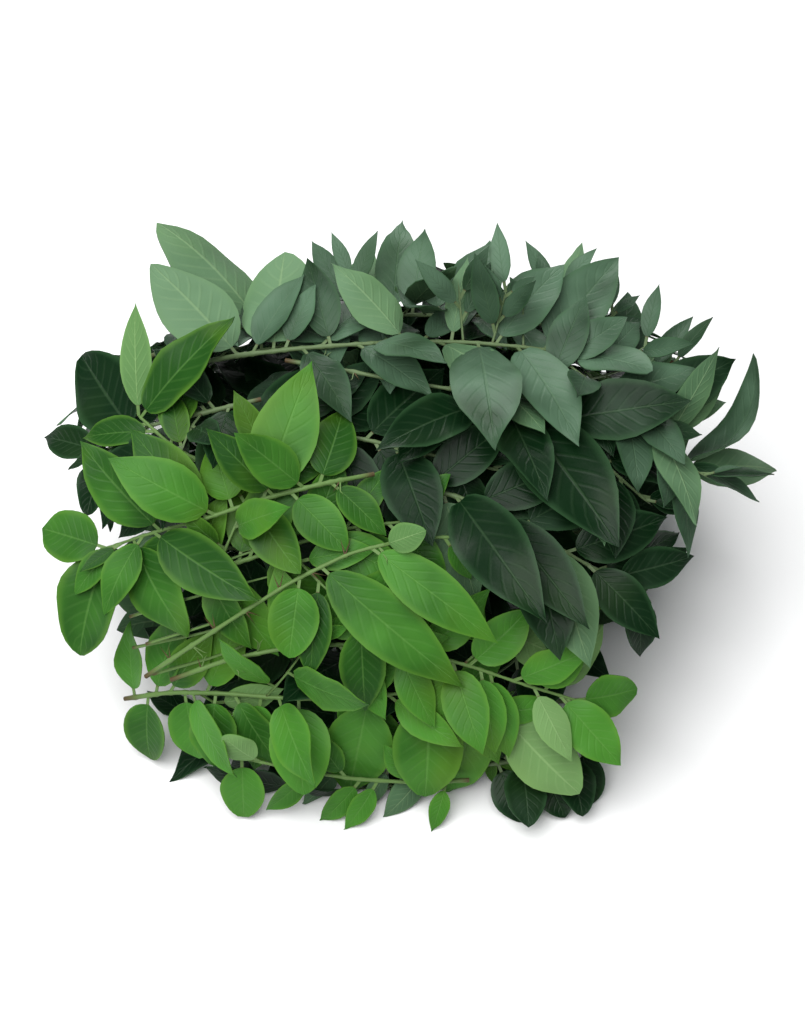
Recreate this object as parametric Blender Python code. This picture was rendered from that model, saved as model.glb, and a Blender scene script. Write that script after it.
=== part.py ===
"""A bunch of cut katuk (sweet leaf) laid down on a table, heaped as it is sold.

Every sprig is one slender stem with leaves in two rows, one leaf at each joint,
to the left and to the right in turn. Young, light green sprigs lie over the
front of the heap, mature, dark green ones over its top, back and inside, and
the lowest leaves are pressed flat on the table.

A place on the heap is (x, turn, depth): x from left to right in mm, turn in
degrees from the front foot (0) over the ridge (90) to the back foot (180), and
depth in mm under the heap's skin. A place in the core is (x, y, z) in mm.
"""

import math
import random
from collections import namedtuple

import bmesh
import bpy
from mathutils import Matrix, Vector
from mathutils.bvhtree import BVHTree

MM = 0.001

# The heap's skin is a rounded mound, boxy in plan.
HEAP_HALF_WIDTH = 165 * MM
HEAP_FRONT_DEPTH = 130 * MM
HEAP_BACK_DEPTH = 108 * MM
HEAP_HEIGHT = 150 * MM
PLAN_POWER = 3.0
FULLEST_SHARE = 0.985
# At its foot the leaves spread out over the table.
FOOT_SPREAD = 0.35

# Stems taper from the cut end to the growing tip.
STEM_SIDES = 6
CUT_RADIUS = 1.7 * MM
TIP_RADIUS = 0.9 * MM
STEM_STEP = 27 * MM
SAMPLES_PER_SPAN = 24
DISTANCE_STEPS = 200
STEM_GAP = 0.6 * MM

# Leaves are ovate blades on short petioles.
BLADE_THICKNESS = 0.7 * MM
LEAF_GAP = 0.45 * MM
ROOM_TO_SPARE = 1.3
PETIOLE_LENGTH = 4.5 * MM
PETIOLE_HALF_WIDTH = 0.7 * MM
BROADEST_AT = 0.42
BASE_ROUNDNESS = 0.5
WIDTH_SHARE = 0.48
SHORTEST_LEAF = 18 * MM
MIDRIB_STEPS = 24
STEEPEST_LANDING = 0.55
DEEPEST_EDGE = 4 * MM

# The rows of points across a leaf: how far along it, and the points across.
# -1 is the petiole's root on the stem's axis, 0 its end, and 1 the blade's tip.
LEAF_ROWS = (
    (-1.0, (-1, 1)),
    (0.0, (-1, 1)),
    (0.13, (-1, 1)),
    (0.42, (-1, 0, 1)),
    (0.74, (-1, 0, 1)),
    (1.0, (0,)),
)
# The same for a leaf low in the heap, which has no fold.
PLAIN_LEAF_ROWS = ((-1.0, (-1, 1)), (0.0, (-1, 1)), (0.24, (-1, 1)), (0.66, (-1, 1)), (1.0, (0,)))

# A leaf that meets another is lifted, dipped, turned or shortened until it is clear.
LIFT_TRIES = (0, 4, 8, -5, 12, 17, -10, 22, 28, 35, 42)
PITCH_TRIES = (0, 14, -14)
LENGTH_TRIES = (1.0, 0.84, 0.68)

YOUNG_GREEN = (0.10, 0.27, 0.05, 1)
MATURE_GREEN = (0.025, 0.10, 0.035, 1)

# posed holds the leaves that stand out: (x of the joint, heading, lift, length, width, face), in mm.
# A heading runs round the skin, 0 to the right and 90 up over the heap to the back.
# A lift leaves the skin. Both are in degrees. face is 1 with the upper side out, -1 with the pale one.
# Where two more numbers follow, they are the leaf's own arch and roll, in degrees.
Sprig = namedtuple("Sprig", "name tone route bare gap leaf posed rows", defaults=(LEAF_ROWS,))
Leaf = namedtuple("Leaf", "root forward up length width bend fold twist rows")

SKIN_SPRIGS = (
    Sprig("dark_sprig_low", "mature",
          ((-1, 64, 15), (29, 60, 12), (55, 54, 10), (79, 48, 10), (105, 42, 10)),
          12, 11, 50, ((22, -56, 0, 70, 30, 1), (41, -54, 0, 60, 24, 1), (78, -48, 3, 40, 20, 1))),
    Sprig("dark_sprig_mid", "mature",
          ((12, 79, 10), (46, 80, 9), (72, 75, 8), (90, 67, 8), (108, 61, 8)),
          12, 11, 48, ((49, -58, 1, 72, 38, 1), (70, -38, 10, 44, 22, 1), (33, -145, 2, 52, 23, 1),
           (22, -130, 2, 34, 18, 1))),
    Sprig("dark_sprig_heart", "mature",
          ((-76, 80, 16), (-31, 75, 15), (12, 70, 16), (42, 67, 18)),
          10, 12, 48, ()),
    Sprig("dark_sprig_left", "mature",
          ((-62, 83, 12), (-94, 80, 9), (-116, 79, 6), (-134, 76, 5)),
          14, 10, 44, ((-115, 123, 12, 52, 33, 1), (-129, 153, 16, 34, 16, 1), (-127, -110, 4, 26, 18, 1))),
    Sprig("dark_sprig_bare", "mature",
          ((-51, 92, 8), (-27, 88, 7), (16, 83, 6), (42, 83, 10), (70, 85, 16)),
          84, 12, 40, ()),
    Sprig("dark_sprig_right", "mature",
          ((51, 88, 10), (82, 87, 8), (104, 82, 5), (115, 75, 3), (122, 69, 3)),
          14, 11, 42, ((118, 14, 10, 64, 26, 1, -100, -65), (121, 18, 8, 58, 18, -1),
           (111, 50, 28, 38, 15, -1), (106, 24, 24, 40, 14, -1), (108, -80, 14, 50, 20, -1),
           (116, -86, 14, 44, 14, 1),
           (99, -60, 14, 34, 18, 1), (91, -47, 6, 24, 16, 1))),
    Sprig("dark_sprig_crest", "mature",
          ((-121, 112, 8), (-77, 108, 5), (-40, 110, 5), (8, 110, 5), (56, 109, 5), (97, 101, 6)),
          12, 12, 44, ((-64, 144, 52, 62, 37, -1), (-80, 124, 30, 50, 26, -1), (-23, 74, 40, 38, 16, -1),
           (-4, 84, 52, 48, 19, 1), (16, 107, 36, 30, 16, 1), (36, 86, 46, 40, 14, 1),
           (56, 68, 34, 39, 16, -1), (68, 76, 44, 42, 13, -1), (82, 30, 24, 24, 15, 1))),
    Sprig("dark_sprig_ridge", "mature",
          ((-100, 96, 8), (-71, 93, 4), (-40, 93, 3), (16, 95, 3), (73, 94, 4), (107, 95, 8)),
          20, 12, 44, ((-71, 132, 14, 54, 32, -1), (-55, 83, 20, 48, 36, -1), (-31, 104, 24, 40, 18, 1),
           (1, 136, 30, 44, 22, -1), (21, 79, 40, 36, 12, -1), (32, -86, 12, 70, 31, 1),
           (49, -66, 8, 58, 26, 1), (61, 56, 28, 54, 28, 1), (72, -28, 8, 34, 24, 1), (86, 58, 22, 26, 14, 1),
           (104, 60, 30, 20, 13, -1))),
    Sprig("young_sprig_under", "young",
          ((-106, 45, 10), (-80, 47, 10), (-50, 51, 10), (-20, 55, 10), (4, 56, 12)),
          14, 11, 44, ()),
    Sprig("young_sprig_upright", "young",
          ((-82, 67, 10), (-101, 73, 6), (-111, 78, 3), (-114, 81, 2)),
          10, 11, 34, ((-112, 37, 24, 57, 24, 1), (-113, 86, 34, 46, 14, -1))),
    Sprig("young_sprig_base", "young",
          ((-128, 14, 10), (-98, 20, 12), (-62, 21, 11), (-27, 21, 10), (12, 23, 9), (51, 16, 8)),
          6, 10, 42, ((-111, -96, 4, 30, 22, 1), (-94, -82, 2, 28, 20, 1), (-80, -87, 4, 28, 22, 1),
           (-61, -98, 0, 34, 19, 1), (-44, -86, 5, 38, 27, 1), (-14, -101, 4, 50, 30, 1),
           (12, -92, 8, 44, 31, 1), (32, -102, 3, 48, 26, 1), (45, -46, 5, 42, 29, -1))),
    Sprig("young_sprig_foot", "young",
          ((29, 6, 0), (-5, 6, -1), (-39, 9, -3), (-69, 12, -4)),
          10, 15, 24, ((-69, -90, 6, 27, 20, 1), (-61, 133, 10, 20, 13, -1))),
    Sprig("young_sprig_low", "young",
          ((-100, 25, 3), (-66, 31, 6), (-22, 33, 8), (22, 30, 6), (50, 26, 4), (75, 22, 3)),
          70, 10, 38, ((28, 44, 8, 30, 20, 1), (53, 34, 8, 25, 19, 1), (60, 42, 4, 34, 20, -1),
           (74, 5, 6, 24, 20, 1), (67, -50, 4, 36, 21, 1), (16, -77, 4, 26, 18, 1))),
    Sprig("young_sprig_left", "young",
          ((-12, 65, 9), (-30, 63, 3), (-59, 60, 3), (-90, 56, 4), (-115, 54, 3), (-128, 52, 2)),
          24, 11, 42, ((-30, -42, 8, 28, 15, 1), (-35, 72, 6, 32, 21, 1), (-58, 70, 12, 57, 28, 1),
           (-47, -46, 2, 30, 19, 1), (-64, -53, 2, 33, 20, 1), (-71, 108, 4, 28, 20, 1),
           (-82, 132, 5, 48, 24, 1), (-105, -32, 6, 52, 25, 1), (-102, 128, 10, 47, 25, 1),
           (-114, -66, 4, 44, 26, 1), (-125, -112, 6, 46, 31, 1), (-126, 162, 8, 30, 23, 1))),
    Sprig("young_sprig_front", "young",
          ((-111, 25, 2), (-66, 40, 1), (-43, 46, 0), (-11, 52, 0), (12, 53, 3), (34, 53, 4)),
          144, 10, 20, ((-43, -98, 4, 30, 22, 1), (-34, -41, 3, 76, 26, 1), (-13, -37, 8, 63, 22, 1),
           (-8, 20, 20, 20, 13, -1))),
    Sprig("dark_sprig_foot", "mature",
          ((92, 8, 12), (52, 6, 9), (8, 6, 8), (-46, 7, 9), (-84, 10, 11)),
          10, 17, 24, ((78, -84, 0, 22, 16, 1), (60, -66, 0, 24, 18, 1), (42, -66, 6, 24, 17, 1)),
          PLAIN_LEAF_ROWS),
)

# The sprigs over the back of the heap, from the crest down to its foot.
BACK_TURNS = (122, 134, 146, 158, 170)
BACK_REACH = 128
BACK_DEPTH = 8

# The sprigs inside the heap, as (y, z, left end, right end), from the table up.
CORE_PLACES = (
    (-84, 4, -92, 80),
    (-30, 4, -112, 98),
    (28, 4, -116, 112),
    (76, 4, -112, 112),
    (-78, 38, -98, 78),
    (-16, 42, -100, 98),
    (46, 42, -102, 100),
    (-34, 82, -86, 86),
    (28, 86, -84, 84),
)


def mound_share(x):
    """How much of the heap's full section stands at x."""
    share = min(abs(x) / HEAP_HALF_WIDTH, FULLEST_SHARE)
    return (1 - share**PLAN_POWER) ** (1 / PLAN_POWER)


def on_skin(x, turn):
    """The point of the heap's skin at x, turn degrees round it."""
    angle = math.radians(turn)
    share = mound_share(x)
    depth = HEAP_FRONT_DEPTH if turn < 90 else HEAP_BACK_DEPTH
    return Vector((x, -depth * share * math.cos(angle), HEAP_HEIGHT * share * math.sin(angle)))


def under_skin(place):
    """(point, outward direction) of a place given as (x, turn, depth)."""
    x, turn, depth = place[0] * MM, place[1], place[2] * MM
    across = on_skin(x + MM, turn) - on_skin(x - MM, turn)
    around = on_skin(x, turn + 1) - on_skin(x, turn - 1)
    outward = across.cross(around).normalized()
    point = on_skin(x, turn) - outward * depth
    foot = FOOT_SPREAD * math.cos(math.radians(turn)) ** 4
    return point, (outward + Vector((0, 0, foot))).normalized()


def in_core(place):
    return Vector(place) * MM, Vector((0, 0, 1))


def smooth(values):
    """Values along a smooth curve through the given ones, and the last of them."""
    ends = [values[0], *values, values[-1]]
    for a, b, c, d in zip(ends, ends[1:], ends[2:], ends[3:]):
        for step in range(SAMPLES_PER_SPAN):
            t = step / SAMPLES_PER_SPAN
            curved = (a * 2 - b * 5 + c * 4 - d) * t**2 + (b * 3 - a - c * 3 + d) * t**3
            yield (b * 2 + (c - a) * t + curved) / 2
    yield values[-1]


class Stem:
    """A stem's course from its cut end to its tip, in straight steps."""

    def __init__(self, places):
        points = [self.off_table(p) for p in smooth([point for point, _ in places])]
        outwards = list(smooth([outward for _, outward in places]))
        reached = [0.0]
        for near, far in zip(points, points[1:]):
            reached.append(reached[-1] + (far - near).length)
        count = max(2, round(reached[-1] / STEM_STEP))
        stops = [reached[-1] * n / count for n in range(count + 1)]
        chosen = [min(range(len(points)), key=lambda i: abs(reached[i] - stop)) for stop in stops]
        self.points = [points[i] for i in chosen]
        self.outwards = [outwards[i].normalized() for i in chosen]
        self.distances = [0.0]
        for near, far in zip(self.points, self.points[1:]):
            self.distances.append(self.distances[-1] + (far - near).length)
        self.length = self.distances[-1]

    @staticmethod
    def off_table(point):
        return Vector((point.x, point.y, max(point.z, CUT_RADIUS + STEM_GAP)))

    def at(self, distance):
        """(point, tangent, outward) this far from the cut end."""
        distance = min(max(distance, 0.0), self.length)
        i = next((n for n, d in enumerate(self.distances[1:]) if d >= distance), len(self.points) - 2)
        near, far = self.distances[i], self.distances[i + 1]
        share = (distance - near) / (far - near)
        tangent = (self.points[i + 1] - self.points[i]).normalized()
        outward = self.outwards[i].lerp(self.outwards[i + 1], share)
        outward = (outward - tangent * outward.dot(tangent)).normalized()
        return self.points[i].lerp(self.points[i + 1], share), tangent, outward

    def distance_at(self, x):
        """How far from the cut end the stem passes x."""
        shares = [n / DISTANCE_STEPS for n in range(DISTANCE_STEPS + 1)]
        return min((s * self.length for s in shares), key=lambda distance: abs(self.at(distance)[0].x - x))

    def radius(self, distance):
        return CUT_RADIUS + (TIP_RADIUS - CUT_RADIUS) * distance / self.length

    def solid(self, extra=0.0):
        """A tapered tube of rings, with a flat cut end and a pointed tip."""
        bm = bmesh.new()
        rings = []
        for point, outward, distance in zip(self.points, self.outwards, self.distances):
            _, tangent, _ = self.at(distance)
            outward = (outward - tangent * outward.dot(tangent)).normalized()
            side = tangent.cross(outward)
            radius = self.radius(distance) + extra
            angles = [math.tau * k / STEM_SIDES for k in range(STEM_SIDES)]
            spokes = [outward * math.cos(a) + side * math.sin(a) for a in angles]
            rings.append([bm.verts.new(point + spoke * radius) for spoke in spokes])
        for near, far in zip(rings, rings[1:]):
            for k in range(STEM_SIDES):
                bm.faces.new((near[k - 1], near[k], far[k], far[k - 1]))
        bm.faces.new(rings[0])
        bm.faces.new(reversed(rings[-1]))
        bmesh.ops.recalc_face_normals(bm, faces=bm.faces)
        bmesh.ops.triangulate(bm, faces=bm.faces)
        return bm


def outline(u):
    """A leaf's half width at u along its blade, as a share of its greatest."""
    tip_sharpness = BASE_ROUNDNESS * (1 - BROADEST_AT) / BROADEST_AT
    greatest = BROADEST_AT**BASE_ROUNDNESS * (1 - BROADEST_AT) ** tip_sharpness
    return u**BASE_ROUNDNESS * (1 - u) ** tip_sharpness / greatest


def midrib(leaf):
    """(u, point, forward, up) along a leaf from its petiole's end, laid flat where it meets the table."""
    point, on_table = leaf.root + leaf.forward * PETIOLE_LENGTH, BLADE_THICKNESS / 2
    yield 0.0, point, leaf.forward, leaf.up
    for n in range(1, MIDRIB_STEPS + 1):
        turned = leaf.bend * n / MIDRIB_STEPS
        forward = leaf.forward * math.cos(turned) - leaf.up * math.sin(turned)
        up = leaf.up * math.cos(turned) + leaf.forward * math.sin(turned)
        if point.z + forward.z * leaf.length / MIDRIB_STEPS < on_table:
            forward = Vector((forward.x, forward.y, 0)).normalized()
            up = Vector((0, 0, math.copysign(1, leaf.up.z)))
            point = Vector((point.x, point.y, on_table))
        point = point + forward * leaf.length / MIDRIB_STEPS
        yield n / MIDRIB_STEPS, point, forward, up


def lands_badly(leaf):
    """Whether a leaf comes down on the table too steeply to lie flat on it, or on its edge."""
    height = leaf.root.z + leaf.forward.z * PETIOLE_LENGTH
    for n in range(MIDRIB_STEPS):
        turned = leaf.bend * n / MIDRIB_STEPS
        fall = leaf.forward.z * math.cos(turned) - leaf.up.z * math.sin(turned)
        if height < BLADE_THICKNESS / 2:
            return n == 0 or fall < -STEEPEST_LANDING
        side = leaf.up.cross(leaf.forward)
        if height - abs(side.z) * leaf.width / 2 < -DEEPEST_EDGE:
            return True
        height += fall * leaf.length / MIDRIB_STEPS
    return False


def leaf_points(leaf):
    """The rows of a leaf's middle surface, each a list of (point, up)."""
    course = list(midrib(leaf))
    for u, across in leaf.rows:
        reached = max(0, round(u * MIDRIB_STEPS))
        _, middle, forward, up = course[reached]
        half = PETIOLE_HALF_WIDTH
        if u < 0:
            middle = leaf.root
        elif u > 0:
            half = outline(u) * leaf.width / 2
        side = up.cross(forward)
        lies_flat = abs(up.z) == 1
        roll = 0 if lies_flat else leaf.twist * max(u, 0)
        fold = 0 if lies_flat else leaf.fold
        side, up = side * math.cos(roll) + up * math.sin(roll), up * math.cos(roll) - side * math.sin(roll)
        row = []
        for v in across:
            point = middle + side * v * half * math.cos(fold) + up * abs(v) * half * math.sin(fold)
            if point.z < BLADE_THICKNESS / 2:
                point.z = BLADE_THICKNESS / 2
                row.append((point, Vector((0, 0, math.copysign(1, leaf.up.z)))))
            else:
                row.append((point, up))
        yield row


def fill_strip(bm, near, far, facing_up):
    """Triangles between two rows of points."""
    i = j = 0
    while i < len(near) - 1 or j < len(far) - 1:
        if j == len(far) - 1 or (i < len(near) - 1 and (i + 1) * (len(far) - 1) <= (j + 1) * (len(near) - 1)):
            corners = (near[i], far[j], near[i + 1])
            i += 1
        else:
            corners = (near[i], far[j], far[j + 1])
            j += 1
        bm.faces.new(corners if facing_up else reversed(corners))


def leaf_solid(leaf, gap=0.0, first_row=0):
    """A leaf as a closed solid, split into triangles alike on both faces."""
    bm = bmesh.new()
    half = BLADE_THICKNESS / 2 + gap
    upper, lower = [], []
    for row in list(leaf_points(leaf))[first_row:]:
        upper.append([bm.verts.new(point + up * half) for point, up in row])
        lower.append([bm.verts.new(point - up * half) for point, up in row])
    for sheet, facing_up in ((upper, True), (lower, False)):
        for near, far in zip(sheet, sheet[1:]):
            fill_strip(bm, near, far, facing_up)
    left = [(a[0], b[0]) for a, b in zip(upper, lower)]
    right = [(a[-1], b[-1]) for a, b in zip(upper, lower)]
    border = left + right[-2::-1]
    for (top, bottom), (next_top, next_bottom) in zip(border, border[1:] + border[:1]):
        bm.faces.new((top, bottom, next_bottom))
        bm.faces.new((top, next_bottom, next_top))
    return bm


class Heap:
    """What has been laid in the heap so far, to keep the next piece clear of it."""

    def __init__(self):
        self.solids = []

    def add(self, bm, owner):
        low = [min(v.co[k] for v in bm.verts) for k in range(3)]
        high = [max(v.co[k] for v in bm.verts) for k in range(3)]
        self.solids.append((BVHTree.FromBMesh(bm), low, high, owner))

    def meets(self, bm, leave_out=None):
        low = [min(v.co[k] for v in bm.verts) for k in range(3)]
        high = [max(v.co[k] for v in bm.verts) for k in range(3)]
        tree = None
        for other, other_low, other_high, owner in self.solids:
            if owner == leave_out and owner is not None:
                continue
            if all(low[k] <= other_high[k] and high[k] >= other_low[k] for k in range(3)):
                tree = tree or BVHTree.FromBMesh(bm)
                if tree.overlap(other):
                    return True
        return False


def turned(vector, axis, degrees):
    return Matrix.Rotation(math.radians(degrees), 3, axis) @ vector


def aimed_leaf(stem, distance, heading, lift, pitch, length, face, shape):
    """A leaf at a joint, heading in the skin's plane and lifted off it."""
    root, _, outward = stem.at(distance)
    forward = (heading * math.cos(math.radians(lift)) + outward * math.sin(math.radians(lift))).normalized()
    up = (outward - forward * outward.dot(forward)).normalized() * face
    up = turned(up, forward, pitch)
    bend, fold, twist, width_share, rows = shape
    return Leaf(root, forward, up, length, length * width_share, bend * face, fold, twist, rows)


def grow(heap, stem, sprig, distance, heading, lift, length, width_share, face, rng, arch=None, roll=0):
    """Lays one leaf in the heap, clear of what lies there. None if there is no room for it."""
    drawn = rng.uniform(12, 38)
    shape = (
        math.radians(drawn if arch is None else arch),
        math.radians(rng.uniform(4, 14)),
        math.radians(rng.uniform(-14, 14)),
        width_share,
        sprig.rows,
    )
    for share in LENGTH_TRIES:
        if length * share < SHORTEST_LEAF:
            break
        for pitch in PITCH_TRIES:
            for extra in LIFT_TRIES:
                leaf = aimed_leaf(
                    stem, distance, heading, lift + extra, roll + pitch, length * share, face, shape
                )
                if is_clear(heap, leaf, sprig.name):
                    return leaf
    return None


def is_clear(heap, leaf, owner):
    if lands_badly(leaf):
        return False
    solid = leaf_solid(leaf, LEAF_GAP * ROOM_TO_SPARE)
    blocked = heap.meets(solid, leave_out=("stem", owner))
    solid.free()
    if blocked:
        return False
    blade = leaf_solid(leaf, LEAF_GAP * ROOM_TO_SPARE, first_row=1)
    own_stem = [tree for tree, _, _, other in heap.solids if other == ("stem", owner)]
    blocked = any(BVHTree.FromBMesh(blade).overlap(tree) for tree in own_stem)
    blade.free()
    return not blocked


def posed_leaves(heap, sprig, stem, rng):
    """The sprig's leaves that are set by hand, as (distance, leaf)."""
    grown = []
    for x, heading, lift, length, width, face, *own in sprig.posed:
        distance = stem.distance_at(x * MM)
        _, _, outward = stem.at(distance)
        across = (Vector((1, 0, 0)) - outward * outward.x).normalized()
        around = outward.cross(across)
        aim = across * math.cos(math.radians(heading)) + around * math.sin(math.radians(heading))
        leaf = grow(heap, stem, sprig, distance, aim, lift, length * MM, width / length, face, rng, *own)
        grown.append((distance, leaf))
        if leaf:
            heap.add(leaf_solid(leaf, LEAF_GAP), sprig.name)
    return grown


def leaves_in_rows(heap, sprig, stem, posed, rng):
    """The rest of the sprig's leaves: one at each joint, left and right in turn, smaller at the tip."""
    grown = []
    distance, row = sprig.bare * MM, 1
    while distance < stem.length:
        if all(abs(distance - taken) > 0.55 * sprig.gap * MM for taken, _ in posed):
            share = (distance - sprig.bare * MM) / (stem.length - sprig.bare * MM)
            length = sprig.leaf * MM * (0.8 + 0.25 * math.sin(math.pi * share)) * (1 - 0.4 * share**4)
            spread = math.radians(rng.uniform(52, 74) - 22 * share)
            _, tangent, outward = stem.at(distance)
            heading = tangent * math.cos(spread) + outward.cross(tangent) * row * math.sin(spread)
            face = -1 if rng.random() < 0.12 else 1
            leaf = grow(heap, stem, sprig, distance, heading, rng.uniform(-6, 12),
                        length * rng.uniform(0.88, 1.1), WIDTH_SHARE * rng.uniform(0.92, 1.15), face, rng)
            if leaf:
                heap.add(leaf_solid(leaf, LEAF_GAP), sprig.name)
                grown.append((distance, leaf))
        distance += sprig.gap * MM * rng.uniform(0.9, 1.15)
        row = -row
    return grown


def back_sprigs():
    """Sprigs that run along the back of the heap, with their tips to the left and right in turn."""
    for n, turn in enumerate(BACK_TURNS):
        reach = BACK_REACH * (1 if n % 2 else -1)
        shares = (-1, -0.4, 0.3, 1)
        route = tuple((reach * s, turn + 3 * s * (-1) ** n, BACK_DEPTH + 3 * (n % 2)) for s in shares)
        tone = "young" if n == 3 else "mature"
        yield Sprig(f"back_sprig_{n + 1}", tone, route, 10, 18, 54, (), PLAIN_LEAF_ROWS)


def core_sprigs():
    """Sprigs inside the heap and on the table, with their tips to the left and right in turn."""
    for n, (y, z, left, right) in enumerate(CORE_PLACES):
        cut, tip = (left, right) if n % 2 else (right, left)
        shares = (0.0, 0.35, 0.7, 1.0)
        route = tuple((cut + (tip - cut) * s, y + (6 - 12 * s) * (-1) ** n, z) for s in shares)
        yield Sprig(f"inner_sprig_{n + 1}", "mature", route, 12, 22, 56, (), PLAIN_LEAF_ROWS)


def mesh_from(bm, name):
    mesh = bpy.data.meshes.new(name)
    bm.to_mesh(mesh)
    bm.free()
    return mesh


def fuse(stem_object, leaves):
    """Joins a sprig's leaves to its stem as one solid."""
    growth = bpy.data.collections.new("growth")
    bpy.context.scene.collection.children.link(growth)
    for leaf in leaves:
        growth.objects.link(bpy.data.objects.new("leaf", mesh_from(leaf_solid(leaf), "leaf")))
    union = stem_object.modifiers.new("growth", "BOOLEAN")
    union.operation = "UNION"
    union.operand_type = "COLLECTION"
    union.collection = growth
    union.solver = "EXACT"
    graph = bpy.context.evaluated_depsgraph_get()
    fused = bpy.data.meshes.new_from_object(stem_object.evaluated_get(graph))
    stem_object.modifiers.clear()
    stem_object.data = fused
    for leaf_object in list(growth.objects):
        bpy.data.objects.remove(leaf_object)
    bpy.data.collections.remove(growth)


def leaf_material(name, colour):
    material = bpy.data.materials.new(name)
    material.use_nodes = True
    shader = material.node_tree.nodes["Principled BSDF"]
    shader.inputs["Base Color"].default_value = colour
    shader.inputs["Roughness"].default_value = 0.5
    shader.inputs["Metallic"].default_value = 0.0
    return material


def laid_sprigs():
    """Every sprig with its stem and its leaves, as (sprig, stem, leaves)."""
    heap = Heap()
    sprigs = [(s, Stem([under_skin(p) for p in s.route])) for s in (*SKIN_SPRIGS, *back_sprigs())]
    sprigs += [(s, Stem([in_core(p) for p in s.route])) for s in core_sprigs()]
    for sprig, stem in sprigs:
        heap.add(stem.solid(STEM_GAP), ("stem", sprig.name))
    posed = [posed_leaves(heap, s, stem, random.Random(n)) for n, (s, stem) in enumerate(sprigs)]
    laid = []
    for n, (sprig, stem) in enumerate(sprigs):
        rows = leaves_in_rows(heap, sprig, stem, posed[n], random.Random(100 + n))
        laid.append((sprig, stem, [leaf for _, leaf in posed[n] + rows if leaf]))
    return laid


def build():
    for obj in list(bpy.data.objects):
        bpy.data.objects.remove(obj)
    materials = {
        "young": leaf_material("young_leaf", YOUNG_GREEN),
        "mature": leaf_material("mature_leaf", MATURE_GREEN),
    }
    bunch = bpy.data.objects.new("bunch", None)
    bpy.context.scene.collection.objects.link(bunch)
    for sprig, stem, leaves in laid_sprigs():
        obj = bpy.data.objects.new(sprig.name, mesh_from(stem.solid(), sprig.name))
        bpy.context.scene.collection.objects.link(obj)
        fuse(obj, leaves)
        obj.data.materials.clear()
        obj.data.materials.append(materials[sprig.tone])
        obj.parent = bunch
    points = [v.co for obj in bunch.children for v in obj.data.vertices]
    low = [min(p[k] for p in points) for k in range(3)]
    high = [max(p[k] for p in points) for k in range(3)]
    bunch.location = (-(low[0] + high[0]) / 2, -(low[1] + high[1]) / 2, -low[2])


build()
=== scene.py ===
import math
import random
from collections import namedtuple

import bmesh
import bpy
import numpy as np
from mathutils import Matrix, Vector
from mathutils.bvhtree import BVHTree


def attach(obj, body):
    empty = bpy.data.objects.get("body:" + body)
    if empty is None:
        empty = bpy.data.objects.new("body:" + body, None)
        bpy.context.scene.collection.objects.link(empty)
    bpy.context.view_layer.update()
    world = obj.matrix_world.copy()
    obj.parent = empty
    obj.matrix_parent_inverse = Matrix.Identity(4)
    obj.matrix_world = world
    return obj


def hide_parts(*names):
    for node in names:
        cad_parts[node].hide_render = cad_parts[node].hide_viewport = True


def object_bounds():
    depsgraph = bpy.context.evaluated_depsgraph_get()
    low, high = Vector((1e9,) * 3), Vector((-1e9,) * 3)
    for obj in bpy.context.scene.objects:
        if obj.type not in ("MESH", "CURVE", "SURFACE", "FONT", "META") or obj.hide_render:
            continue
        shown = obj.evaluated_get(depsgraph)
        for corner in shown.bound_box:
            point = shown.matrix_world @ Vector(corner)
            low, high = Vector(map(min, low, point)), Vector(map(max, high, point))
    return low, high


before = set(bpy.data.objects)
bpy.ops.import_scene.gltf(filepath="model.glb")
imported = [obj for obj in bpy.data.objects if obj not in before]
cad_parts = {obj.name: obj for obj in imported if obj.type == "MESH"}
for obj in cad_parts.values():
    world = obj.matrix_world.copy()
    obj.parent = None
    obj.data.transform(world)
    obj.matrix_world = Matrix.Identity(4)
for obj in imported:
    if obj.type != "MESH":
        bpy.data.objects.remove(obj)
cad_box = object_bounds()

# The heap. Cut sprigs of katuk, a leafy green, lie on a table in a rounded mound, boxy in plan, with
# its front to the camera. A place on it is (x, turn, depth): x in mm from left to right, turn in
# degrees from the front foot (0) over the ridge (90) to the back foot (180), depth in mm.
MM = 0.001
HEAP_HALF_WIDTH = 165 * MM
HEAP_FRONT_DEPTH = 130 * MM
HEAP_BACK_DEPTH = 108 * MM
HEAP_HEIGHT = 150 * MM
RIDGE_TURN = 90
PLAN_POWER = 3.0
FULLEST_SHARE = 0.985
FOOT_SPREAD = 0.35
FOOT_POWER = 4


def mound_share(x):
    """How much of the heap's full section stands at x."""
    share = min(abs(x) / HEAP_HALF_WIDTH, FULLEST_SHARE)
    return (1 - share**PLAN_POWER) ** (1 / PLAN_POWER)


def on_skin(x, turn):
    """The point of the heap's skin at x, turn degrees round it."""
    angle = math.radians(turn)
    share = mound_share(x)
    depth = HEAP_FRONT_DEPTH if turn < RIDGE_TURN else HEAP_BACK_DEPTH
    return Vector((x, -depth * share * math.cos(angle), HEAP_HEIGHT * share * math.sin(angle)))


def under_skin(place):
    """(point, outward direction) of a place given as (x, turn, depth)."""
    x, turn, depth = place[0] * MM, place[1], place[2] * MM
    across = on_skin(x + MM, turn) - on_skin(x - MM, turn)
    around = on_skin(x, turn + 1) - on_skin(x, turn - 1)
    outward = across.cross(around).normalized()
    point = on_skin(x, turn) - outward * depth
    foot = FOOT_SPREAD * math.cos(math.radians(turn)) ** FOOT_POWER
    return point, (outward + Vector((0, 0, foot))).normalized()


def in_core(place):
    return Vector(place) * MM, Vector((0, 0, 1))


# How the stems run. A real stem is a slender green shoot, 2 to 4 mm thick, cut off at one end and
# growing at the other, and bends in a smooth curve through a few places on the heap. Its plain
# solid here is never shown: it only keeps the leaves clear of it.
STEM_SIDES = 6
CUT_RADIUS = 1.7 * MM
TIP_RADIUS = 0.9 * MM
STEM_STEP = 27 * MM
SAMPLES_PER_SPAN = 24
DISTANCE_STEPS = 200
STEM_GAP = 0.6 * MM


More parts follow.
